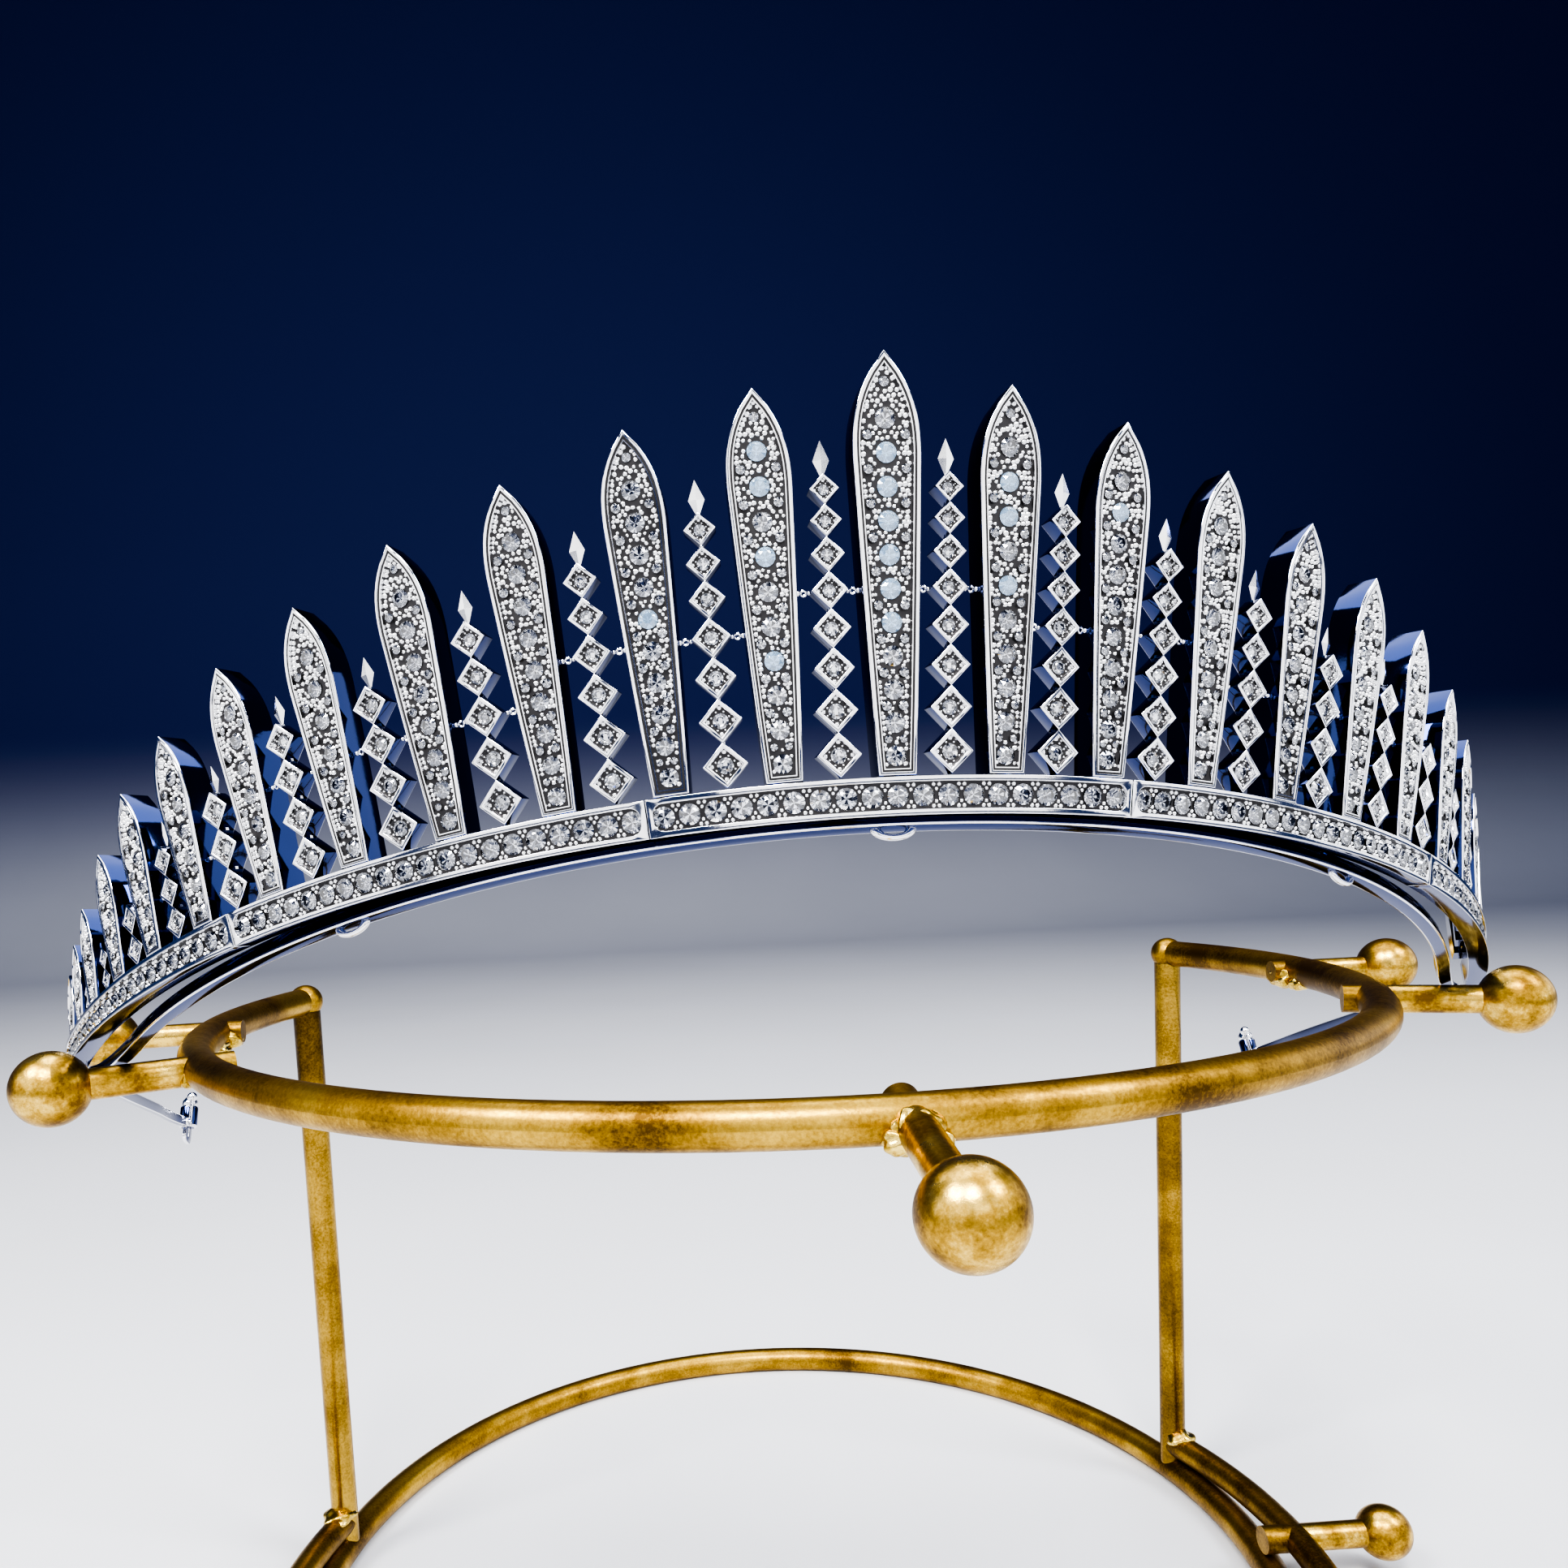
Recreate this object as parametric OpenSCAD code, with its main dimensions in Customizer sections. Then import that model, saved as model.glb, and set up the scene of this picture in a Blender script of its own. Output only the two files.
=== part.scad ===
/* [Hoops] */
// Radius of the two open hoops, to the middle of the tube
hoop_r = 76; // [72:1:80]
// Thickness of the tube in the hoops, the legs and the lower pegs
tube_d = 4.2; // [3.8:0.1:4.6]
// Height of the upper hoop above the floor, to the middle of the tube
hoop_h = 93.5; // [80:0.5:120]
// Angle of each leg, round from the front
leg_angle = 110; // [106:1:116]
// Thickness of the rounded corner where the upper hoop meets a leg
corner_d = 5.2; // [5:0.1:5.6]

/* [Base ring] */
// How far the middle of the base ring lies behind the middle of the hoops
ring_back = 10; // [6:0.5:14]
// Thickness of the base ring
ring_d = 4.7; // [4.2:0.1:5.2]
// How much is ground off under the base ring, so that it stands flat
ground_off = 0.2; // [0.1:0.05:0.4]

/* [Pegs] */
// Thickness of the lower pegs
low_peg_d = 4; // [3.4:0.1:4]
// Width of each knob
knob_d = 8; // [7.4:0.1:8.4]
// Thickness of the upper pegs at the front and at the sides
side_peg_d = 3.4; // [3:0.1:4]
// Thickness of the upper pegs at the rear
rear_peg_d = 3; // [2.6:0.1:3.6]
// Angle of the pegs at the sides, round from the front
side_peg_angle = 64.5; // [62:0.5:67]
// Angle of the rear pegs, round from the front
rear_peg_angle = 87; // [82:1:92]
// Reach of the front pegs, from the hoop to the middle of the knob
front_reach = 16; // [13:0.5:18]
// Reach of the rear pegs, from the hoop to the middle of the knob
rear_reach = 13.8; // [11:0.2:16]
// Slope of the upper front peg, downwards
front_droop = 10.5; // [0:0.5:16]
// Length of each stub inside the upper hoop
stub_l = 1.3; // [0.8:0.1:3]

/* [Diadem] */
// How far the curve of the blade feet lies outside the hoops
overhang = 18; // [17:0.5:19]
// Angle of the last blade on each side, round from the front
arm_angle = 60.5; // [58:0.5:61]
// Tilt of the diadem on its stand, with the front raised
tilt = 28; // [25:0.5:30]
// How far the middle of the diadem lies behind the middle of the hoops
diadem_back = 7.5; // [6.5:0.5:8.5]
// Outward lean of the blades at the front, from the diadem's own axis
front_lean = 27.5; // [22:0.5:30]
// Outward lean of the last blades
end_lean = 8.5; // [6:0.5:12]

/* [Blades] */
// Height of the centre blade
blade_h = 32.3; // [28:0.1:36]
// Greatest width of the centre blade
blade_w = 5.35; // [4.9:0.05:5.6]
// Width of the centre blade at its foot
foot_w = 3.05; // [2.7:0.05:3.4]
// Depth of the blades from front to back
blade_depth = 2.8; // [2.2:0.1:3.2]
// Width of the polished rim round the centre blade
rim_w = 0.5; // [0.4:0.02:0.56]
// Width of the fine step inside the rim
step_w = 0.16; // [0.1:0.02:0.2]
// Depth of the fine step below the rim
step_depth = 0.14; // [0.1:0.02:0.2]
// Depth of the stone field below the rim
field_depth = 0.45; // [0.3:0.05:0.6]

/* [Stones] */
// Width of the main stones in the centre blade
stone_d = 1.62; // [1.4:0.02:1.7]
// Width of the small stone at the tip of the centre blade
tip_stone_d = 0.8; // [0.6:0.05:0.9]
// Clearance between a stone and its seat
stone_fit = 0.06; // [0.05:0.01:0.1]

/* [Strings] */
// Corner to corner width of the largest lozenge setting
lozenge_w = 3.6; // [3.2:0.05:3.8]
// Depth of the lozenge settings from front to back
lozenge_depth = 1.8; // [1.4:0.1:2.2]
// How far the lozenges' faces lie behind the blades' faces
string_back = 0.3; // [0.1:0.05:0.5]
// Width of the rim round each lozenge
lozenge_rim = 0.32; // [0.24:0.02:0.36]
// Depth of the recess in each lozenge
lozenge_recess = 0.5; // [0.3:0.05:0.8]
// Width of the neck where two lozenges are joined
neck_w = 0.3; // [0.24:0.02:0.4]
// Wire thickness of the small rings beside the lozenges
link_wire = 0.24; // [0.2:0.02:0.28]
// Width of the pointed top of the first string
finial_w = 1.5; // [1.2:0.1:1.8]
// Height of the pointed top of the first string
finial_h = 3; // [2.4:0.1:3.4]

/* [Frame] */
// Height of the stone band
band_h = 3.1; // [2.8:0.05:3.4]
// Thickness of the stone band from front to back
band_depth = 1.8; // [1.5:0.1:2.1]
// How far the band stands proud of the blades
band_proud = 0.2; // [0.1:0.05:0.4]
// Width of each rim of the band
band_rim = 0.45; // [0.35:0.05:0.6]
// Depth of the stone channel in the band
channel_depth = 0.45; // [0.3:0.05:0.6]
// Thickness of the inner rail
rail_w = 1.4; // [1.2:0.1:1.6]
// Height of the inner rail
rail_h = 1.5; // [1.2:0.1:1.8]
// Widest gap between the band and the inner rail
rail_gap = 2; // [1.6:0.1:2.4]
// Thickness of each tail strip behind the arms
tail_w = 1; // [0.8:0.1:1.2]
// Height of each tail strip
tail_h = 1.6; // [1.3:0.1:1.9]
// Wire thickness of the small loops under the inner rail
loop_wire = 0.5; // [0.4:0.05:0.6]
// Radius of the small loops under the inner rail
loop_r = 1; // [0.8:0.05:1.2]
// Angle that each tail runs on past the last blade
tail_angle = 50; // [46:1:52]
// How far each tail rises, along the diadem's own height
tail_rise = 16.4; // [15:0.2:17]
// Width of the round tab at the end of each tail
tab_d = 3; // [2.4:0.1:3.6]
// Thickness of the tab
tab_w = 0.6; // [0.4:0.05:0.8]
// Width of the small ball at the end of each tail
tail_ball_d = 1.7; // [1.2:0.05:2]
// Height of the small ball above the middle of the tail
tail_ball_h = 4.5; // [3.5:0.1:5]

/* [Hidden] */
$fn = 48;
// Gap of a soldered seam between two pieces
seam = 0.05;
// Free space kept round the knobs beside the arms
knob_clear = 0.3;
BLADES = 12;
// Each blade from the centre outwards: its angle, height and width as shares of the
// last blade's angle and the centre blade's height and width, and its row of stones
BLADE_TABLE = [
    [0, 1, 1, 12],
    [0.09, 0.93, 0.94, 11],
    [0.18, 0.875, 0.92, 11],
    [0.272, 0.81, 0.9, 10],
    [0.367, 0.75, 0.88, 9],
    [0.461, 0.69, 0.86, 8],
    [0.555, 0.64, 0.84, 8],
    [0.65, 0.565, 0.82, 7],
    [0.735, 0.5, 0.8, 6],
    [0.813, 0.405, 0.76, 5],
    [0.891, 0.32, 0.72, 4],
    [0.95, 0.265, 0.7, 3],
    [1, 0.215, 0.68, 3]
];
// Each string of lozenges from the centre outwards: how many lozenges it has, and the
// lowest one's width as a share of the largest lozenge's
STRING_TABLE = [
    [8, 1], [7, 1.01], [6, 1.02], [5, 1.04], [4, 1.06], [4, 1.05],
    [3, 1.08], [3, 0.9], [2, 0.9], [2, 0.66], [2, 0.4], [1, 0.36]
];
// Each lozenge is smaller than the lowest one by this share a step
LOZENGE_FALL = 0.05;
// How far the tip of each lozenge runs into the next one
LOZENGE_LAP = 0.06;
// Each string's pointed top is smaller than the first one's by this share a string
FINIAL_FALL = 0.01;
// Height of a pointed top's widest place, as a share of its height
FINIAL_WAIST = 0.42;
// Room between a stone and the rim of its field
STONE_MARGIN = 0.12;
// Middle of a blade's tip stone and of the stone below it, down from the tip in blade widths
TIP_STONE_DOWN = 0.42;
ROW_TOP_DOWN = 0.93;
// A stone's table, crown and pavilion as shares of its radius
TABLE_SHARE = 0.56;
CROWN_SHARE = 0.3;
PAVILION_SHARE = 0.9;
// Along the pointed part of a blade, from its tip down
TIP_STEPS = [0.18, 0.3, 0.42, 0.55, 0.7, 0.85];
// Up the tapered part of a blade, from its foot
TAPER_STEPS = [0, 0.35, 0.7, 1];
SWEEP_STEPS = 44;
TAIL_STEPS = 15;
// How far the frame runs on past the last blades, as an angle
FRAME_OVERRUN = 2;
// Places of the small loops under the inner rail, as shares of the last blade's angle
LOOP_TABLE = [-0.5, 0, 0.5];
// Tails: share of the way along, and how far inside the curve of the blade feet
TAIL_TABLE = [[0, 2.4], [0.2, 2.3], [0.4, 1.4], [0.6, -0.9], [0.8, -5.1], [1, -11.8]];
TAIL_CLIMB = [[0, 0], [0.2, 0.25], [0.4, 0.46], [0.6, 0.65], [0.8, 0.83], [1, 1]];
TAIL_TOE = 27;

// The stand
leg_x = hoop_r * sin(leg_angle);
leg_y = -hoop_r * cos(leg_angle);
ring_r = norm([leg_x, leg_y - ring_back]);
ring_z = ring_d / 2 - ground_off;
ring_top = ring_z + ring_d / 2;
low_h = ring_top + tube_d / 2 + seam;
front_y = -hoop_r - front_reach - knob_d / 2;
back_y = ring_back + ring_r + ring_d / 2;
depth_shift = -(front_y + back_y) / 2;

// The base curve of the diadem
frame_r = hoop_r + overhang;
end_angle = arm_angle + FRAME_OVERRUN;
rail_front_z = -2.6;
rail_fall = 2.2;
function lean_at(a) = front_lean - (front_lean - end_lean) * pow(a / arm_angle, 2);
// A point of the frame's section, y inwards and z along the blades, at an angle from the front
function frame_point(a, y, z) =
    let (r = frame_r - y * cos(lean_at(a)) + z * sin(lean_at(a)))
    [r * sin(a), -r * cos(a), y * sin(lean_at(a)) + z * cos(lean_at(a))];
// The same point once the diadem is tilted, before it is lifted on to the pegs
function tilted(p) = [
    p[0],
    p[1] * cos(tilt) + p[2] * sin(tilt) + diadem_back,
    -p[1] * sin(tilt) + p[2] * cos(tilt)
];
// The inner rail: its outer radius and its underside
rail_close = 7;
function band_inner_r(a) =
    frame_r - band_depth * cos(lean_at(a)) - band_h * sin(lean_at(a));
function rail_spread(a) = (1 - cos(a)) / (1 - cos(end_angle - rail_close));
function rail_space(a) =
    abs(a) < end_angle - rail_close
        ? seam * 3 + (rail_gap - seam * 3) * rail_spread(a)
        : seam + (rail_gap - seam) * sqrt(1 - pow((abs(a) - end_angle + rail_close) / rail_close, 2));
function rail_r(a) = band_inner_r(a) - rail_space(a);
function rail_z(a) = rail_front_z - rail_fall * (1 - cos(a));
// Where the rail's inner lower edge passes over a side peg, as angle and height
PEG_CROSSING = [
    for (a = [40:1:70])
        let (r = rail_r(min(a, end_angle)) - rail_w, p = tilted([r * sin(a), -r * cos(a), rail_z(a)]))
        [atan2(p[0], -p[1]), p[2]]
];
peg_lift = side_peg_d / 2 * sqrt(1 - pow(sin(tilt) * cos(side_peg_angle), 2)) / cos(tilt);
diadem_z = hoop_h + peg_lift + seam - lookup(side_peg_angle, PEG_CROSSING);
// Where the band's outer lower edge passes the side knobs, as angle, radius and height
BAND_CROSSING = [
    for (a = [40:1:70])
        let (p = tilted(frame_point(a, -band_proud, -band_h)))
        [atan2(p[0], -p[1]), norm([p[0], p[1]])]
];
BAND_HEIGHT = [
    for (a = [40:1:70])
        let (p = tilted(frame_point(a, -band_proud, -band_h)))
        [atan2(p[0], -p[1]), p[2] + diadem_z]
];
band_over_peg = (lookup(side_peg_angle, BAND_HEIGHT) - hoop_h) * cos(tilt);
knob_reach = knob_d / 2 + knob_clear;
side_reach = lookup(side_peg_angle, BAND_CROSSING) - hoop_r
    + sqrt(max(0, pow(knob_reach, 2) - pow(band_over_peg, 2)));

// A blade's sizes, by its number
function blade_angle(k) = arm_angle * BLADE_TABLE[k][0];
function height_of(k) = blade_h * BLADE_TABLE[k][1];
function width_of(k) = blade_w * BLADE_TABLE[k][2];
function foot_of(k) = foot_w * (0.4 + 0.6 * BLADE_TABLE[k][2]);
function rim_of(k) = rim_w * BLADE_TABLE[k][2];
function tip_of(k) = min(1.45 * width_of(k), 0.6 * height_of(k));
// Half the width of a blade at a height above its foot
function blade_half(k, s) =
    let (taper = height_of(k) - tip_of(k), x = s / taper, v = min(1, (height_of(k) - s) / tip_of(k)))
    s < taper
        ? (foot_of(k) + (width_of(k) - foot_of(k)) * x * (1.2 - 0.2 * x)) / 2
        : width_of(k) / 2 * (1 - pow(1 - v, 2.6));
function blade_side(k) = concat(
    [for (x = TAPER_STEPS) x * (height_of(k) - tip_of(k))],
    [for (i = [len(TIP_STEPS) - 1:-1:0]) height_of(k) - TIP_STEPS[i] * tip_of(k)]
);
function blade_outline(k) = concat(
    [for (s = blade_side(k)) [blade_half(k, s), s]],
    [[0, height_of(k)]],
    [for (i = [len(blade_side(k)) - 1:-1:0]) [-blade_half(k, blade_side(k)[i]), blade_side(k)[i]]]
);
// A convex outline moved inwards
function edge_normal(a, b) = [a[1] - b[1], b[0] - a[0]] / norm(b - a);
function inset(p, d) = [
    for (i = [0:len(p) - 1])
        let (
            n1 = edge_normal(p[(i + len(p) - 1) % len(p)], p[i]),
            n2 = edge_normal(p[i], p[(i + 1) % len(p)])
        )
        p[i] + d * (n1 + n2) / (1 + n1 * n2)
];
// The stones up the middle of a blade, from the foot: height and width of each
function row_low(k) = rim_of(k) + step_w + stone_d * BLADE_TABLE[k][2] / 2 + STONE_MARGIN;
function row_high(k) = height_of(k) - ROW_TOP_DOWN * width_of(k);
function stone_height(k, i) =
    i == BLADE_TABLE[k][3] - 1
        ? height_of(k) - TIP_STONE_DOWN * width_of(k)
        : row_low(k) + (row_high(k) - row_low(k)) * i / max(1, BLADE_TABLE[k][3] - 2);
function stone_width(k, i) =
    i == BLADE_TABLE[k][3] - 1
        ? tip_stone_d * BLADE_TABLE[k][2]
        : min(
            stone_d * (0.3 + 0.7 * BLADE_TABLE[k][2]),
            2 * (blade_half(k, stone_height(k, i)) - rim_of(k) - step_w - STONE_MARGIN)
        );

// Sweep a closed section through a list of stations
module sweep(stations) {
    n = len(stations[0]);
    m = len(stations);
    sides = [
        for (i = [0:m - 2], j = [0:n - 1])
            [i * n + j, i * n + (j + 1) % n, (i + 1) * n + (j + 1) % n, (i + 1) * n + j]
    ];
    first = [for (j = [n - 1:-1:0]) j];
    last = [for (j = [0:n - 1]) (m - 1) * n + j];
    polyhedron([for (s = stations, p = s) p], concat(sides, [first], [last]));
}

// Placing on the stand and on the diadem
module placed() {
    translate([0, depth_shift, 0]) children();
}

module on_pegs() {
    placed() translate([0, diadem_back, diadem_z]) rotate([-tilt, 0, 0]) children();
}

module on_frame(a) {
    rotate([0, 0, a]) translate([0, -frame_r, 0]) rotate([lean_at(abs(a)), 0, 0]) children();
}

// An outline in width and height, cut from the front at y0 to a depth
module slab(outline, y0, depth) {
    translate([0, y0 + depth, 0])
        rotate([90, 0, 0])
            linear_extrude(height = depth)
                polygon(outline);
}

// Stand
module ring_solid(grow) {
    translate([0, ring_back, ring_z])
        rotate_extrude($fn = 96)
            translate([ring_r, 0])
                circle(d = ring_d + 2 * grow);
}

module base_ring() {
    color("darkgoldenrod")
        placed()
            difference() {
                ring_solid(0);
                translate([-2 * hoop_r, -2 * hoop_r, -ring_d])
                    cube([4 * hoop_r, 4 * hoop_r, ring_d]);
            }
}

module hoop_tube(z, grow) {
    translate([0, 0, z])
        rotate_extrude($fn = 96, angle = 2 * leg_angle, start = -90 - leg_angle)
            translate([hoop_r, 0])
                circle(d = tube_d + 2 * grow);
}

module at_peg(a, z) {
    rotate([0, 0, a]) translate([0, -hoop_r, z]) children();
}

module stub(d, l) {
    rotate([-90, 0, 0]) cylinder(d = d, h = tube_d / 2 + l);
}

module leg_solid(side, grow) {
    translate([side * leg_x, leg_y, ring_z])
        cylinder(d = tube_d + 2 * grow, h = hoop_h - ring_z);
}

module upper_hoop() {
    color("darkgoldenrod")
        placed() {
            hoop_tube(hoop_h, 0);
            for (side = [-1, 1]) {
                translate([side * leg_x, leg_y, hoop_h]) sphere(d = corner_d);
                at_peg(side * side_peg_angle, hoop_h) stub(side_peg_d, stub_l);
                at_peg(side * rear_peg_angle, hoop_h) stub(rear_peg_d, stub_l);
            }
            at_peg(0, hoop_h) rotate([front_droop, 0, 0]) stub(side_peg_d, stub_l);
        }
}

// Length of a lower stub, from the hoop's tube to just past the middle of the base ring
function low_stub(a) =
    let (b = ring_back * cos(a))
    hoop_r - tube_d / 2 - (sqrt(b * b + ring_r * ring_r - ring_back * ring_back) - b) + 1;

module lower_hoop() {
    color("darkgoldenrod")
        placed()
            difference() {
                union() {
                    hoop_tube(low_h, 0);
                    for (a = [-rear_peg_angle, -side_peg_angle, 0, side_peg_angle, rear_peg_angle])
                        at_peg(a, low_h) stub(low_peg_d, low_stub(a));
                }
                for (side = [-1, 1])
                    leg_solid(side, seam);
            }
}

module leg(side) {
    color("goldenrod")
        placed()
            difference() {
                leg_solid(side, 0);
                ring_solid(seam);
                hoop_tube(hoop_h, seam);
                translate([side * leg_x, leg_y, hoop_h]) sphere(d = corner_d + 2 * seam);
            }
}

module peg(a, z, d, reach, droop) {
    color("goldenrod")
        placed()
            difference() {
                at_peg(a, z)
                    rotate([droop, 0, 0]) {
                        rotate([90, 0, 0]) cylinder(d = d, h = reach);
                        translate([0, -reach, 0]) sphere(d = knob_d);
                    }
                hoop_tube(z, seam);
                cylinder(r = hoop_r, h = 2 * hoop_h);
            }
}

// Diadem frame
function band_section(a) = [
    frame_point(a, -band_proud, -seam),
    frame_point(a, band_depth, -seam),
    frame_point(a, band_depth, -band_h),
    frame_point(a, -band_proud, -band_h),
    frame_point(a, -band_proud, band_rim - band_h),
    frame_point(a, channel_depth - band_proud, band_rim - band_h),
    frame_point(a, channel_depth - band_proud, -band_rim),
    frame_point(a, -band_proud, -band_rim)
];

module stone_band() {
    color("gainsboro")
        on_pegs() {
            sweep([
                for (i = [0:SWEEP_STEPS])
                    band_section(end_angle * (2 * i / SWEEP_STEPS - 1))
            ]);
            // The channel is closed at both ends
            for (side = [-1, 1])
                rotate([0, 0, side * (end_angle - atan(band_rim / frame_r))])
                    translate([0, -frame_r, 0])
                        rotate([end_lean, 0, 0])
                            translate([-band_rim / 2, seam - band_proud, -band_h + band_rim / 2])
                                cube([band_rim, channel_depth, band_h - band_rim]);
        }
}

function rail_section(a) = [
    [rail_r(a) * sin(a), -rail_r(a) * cos(a), rail_z(a) + rail_h],
    [(rail_r(a) - rail_w) * sin(a), -(rail_r(a) - rail_w) * cos(a), rail_z(a) + rail_h],
    [(rail_r(a) - rail_w) * sin(a), -(rail_r(a) - rail_w) * cos(a), rail_z(a)],
    [rail_r(a) * sin(a), -rail_r(a) * cos(a), rail_z(a)]
];

module inner_rail() {
    color("gainsboro")
        on_pegs() {
            sweep([
                for (i = [0:SWEEP_STEPS])
                    rail_section(end_angle * (2 * i / SWEEP_STEPS - 1))
            ]);
            for (share = LOOP_TABLE)
                rotate([0, 0, share * arm_angle])
                    translate([0, -rail_r(share * arm_angle) + rail_w / 2, rail_z(share * arm_angle)])
                        rotate([90, 0, 0])
                            rotate_extrude($fn = 24, angle = 180, start = 180)
                                translate([loop_r, 0])
                                    circle(d = loop_wire, $fn = 16);
        }
}

// Tails, by share of the way from the frame's end to the tail's end
tail_start = end_angle + atan(2 * seam / frame_r);
tail_end = arm_angle + tail_angle;
tail_top = rail_z(end_angle) + rail_h;
function tail_r(t) = frame_r - lookup(t, TAIL_TABLE);
function tail_point(t, side, y, z) =
    let (a = tail_start + (tail_end - tail_start) * t)
    [side * (tail_r(t) - y) * sin(a), -(tail_r(t) - y) * cos(a), tail_top + tail_rise * lookup(t, TAIL_CLIMB) - z];
function tail_section(t, side) = [
    tail_point(t, side, 0, 0),
    tail_point(t, side, tail_w, 0),
    tail_point(t, side, tail_w, tail_h),
    tail_point(t, side, 0, tail_h)
];

module tail(side) {
    // The ball's pin stands on a small block inside the strip
    pin_d = tail_ball_d / 3;
    pin_y = (tail_w + pin_d) / 2 + seam;
    slot = [tab_d / 6, tab_d * 0.4];
    color("gainsboro")
        on_pegs() {
            sweep([
                for (i = [0:TAIL_STEPS])
                    tail_section((side < 0 ? TAIL_STEPS - i : i) / TAIL_STEPS, side)
            ]);
            translate(tail_point(1, side, tail_w / 2, tail_h / 2))
                rotate([0, 0, side * (tail_end - TAIL_TOE)]) {
                    // Folded lip
                    rotate([90, 0, 0]) cylinder(d = tail_h, h = tail_w + band_rim, center = true);
                    // Slotted tab
                    translate([side * (tail_h + tab_d - tab_w) / 2.35, 0, -tab_d * 0.3])
                        rotate([90, 0, 0])
                            difference() {
                                cylinder(d = tab_d, h = tab_w, center = true);
                                translate([-slot[0] / 2, -slot[1] / 2, -tab_w])
                                    cube([slot[0], slot[1], 2 * tab_w]);
                            }
                    translate([0, pin_y, 0]) cylinder(d = pin_d, h = tail_ball_h);
                    translate([0, pin_y, tail_ball_h]) sphere(d = tail_ball_d);
                    translate([-pin_d / 2, 0, -pin_d / 2]) cube([pin_d, pin_y + pin_d / 2, pin_d]);
                }
        }
}

// Blades
module blade(k, side) {
    outline = blade_outline(k);
    rim = inset(outline, rim_of(k));
    field = inset(outline, rim_of(k) + step_w);
    color("whitesmoke")
        on_pegs()
            on_frame(side * blade_angle(k))
                difference() {
                    slab(outline, 0, blade_depth);
                    slab(rim, -1, 1 + step_depth);
                    slab(field, -1, 1 + field_depth);
                    for (i = [0:BLADE_TABLE[k][3] - 1])
                        translate([0, field_depth - seam, stone_height(k, i)])
                            rotate([-90, 22.5, 0])
                                cylinder(
                                    d = stone_width(k, i) + 2 * stone_fit,
                                    h = seam + stone_width(k, i) / 2 * PAVILION_SHARE + 2 * stone_fit,
                                    $fn = 8
                                );
                }
}

// Strings of lozenge settings
function string_angle(k) = (blade_angle(k) + blade_angle(k + 1)) / 2;
function lozenge_of(k, i) = lozenge_w * STRING_TABLE[k][1] * (1 - LOZENGE_FALL * i);
function lozenge_height(k, i) =
    i == 0
        ? lozenge_of(k, 0) / 2
        : lozenge_height(k, i - 1) + (lozenge_of(k, i - 1) + lozenge_of(k, i)) / 2 - LOZENGE_LAP;
function link_row(k) = floor(STRING_TABLE[k][0] / 2);
// Room between a lozenge's corner and the side of the blade beside it
function link_room(k, b, i) =
    let (
        s = lozenge_height(k, i),
        half = (blade_angle(k + 1) - blade_angle(k)) / 2,
        r = frame_r + s * sin(lean_at(string_angle(k)))
    )
    r * sin(half) - blade_half(b, s) * cos(half) - lozenge_of(k, i) / 2 - blade_depth * sin(half) / 2;

module lozenge(w) {
    side = w / sqrt(2);
    inner = side - 2 * lozenge_rim;
    rotate([0, 45, 0])
        difference() {
            translate([-side / 2, 0, -side / 2]) cube([side, lozenge_depth, side]);
            translate([-inner / 2, -1, -inner / 2]) cube([inner, 1 + lozenge_recess, inner]);
        }
}

module finial(w, h) {
    y = lozenge_depth / 2;
    waist = FINIAL_WAIST * h;
    polyhedron(
        [[0, y, 0], [w / 2, y, waist], [0, y, h], [-w / 2, y, waist],
         [0, y - w / 2, waist], [0, y + w / 2, waist]],
        [[4, 1, 0], [4, 2, 1], [4, 3, 2], [4, 0, 3],
         [5, 0, 1], [5, 1, 2], [5, 2, 3], [5, 3, 0]]
    );
}

// A small ring beside a lozenge, let into its corner, that ends just short of the blade.
// The last strings stand too close to their blades for one
module link_ring(side, room) {
    let_in = link_wire / 2;
    d = room + let_in - seam;
    if (d > 3 * link_wire)
        translate([side * (d / 2 - let_in), lozenge_depth / 2, 0])
            rotate([90, 0, 0])
                rotate_extrude($fn = 24)
                    translate([(d - link_wire) / 2, 0])
                        circle(d = link_wire, $fn = 16);
}

module lozenge_string(k, side) {
    last = STRING_TABLE[k][0] - 1;
    row = link_row(k);
    top = lozenge_height(k, last) + lozenge_of(k, last) / 2;
    on_frame(side * string_angle(k))
        translate([0, string_back, seam]) {
            for (i = [0:last])
                translate([0, 0, lozenge_height(k, i)]) lozenge(lozenge_of(k, i));
            // A thin bar behind the recesses joins the settings
            translate([-neck_w / 2, (lozenge_depth - neck_w) / 2, lozenge_of(k, 0) / 2])
                cube([neck_w, neck_w, top - lozenge_of(k, 0) / 2]);
            translate([0, 0, top - neck_w])
                finial(finial_w * (1 - FINIAL_FALL * k), finial_h * (1 - FINIAL_FALL * k));
            for (way = [-1, 1])
                translate([way * lozenge_of(k, row) / 2, 0, lozenge_height(k, row)])
                    link_ring(way, link_room(k, way == side ? k + 1 : k, row));
        }
}

module strings(side) {
    color("silver")
        on_pegs()
            for (k = [0:BLADES - 1])
                lozenge_string(k, side);
}

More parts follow.
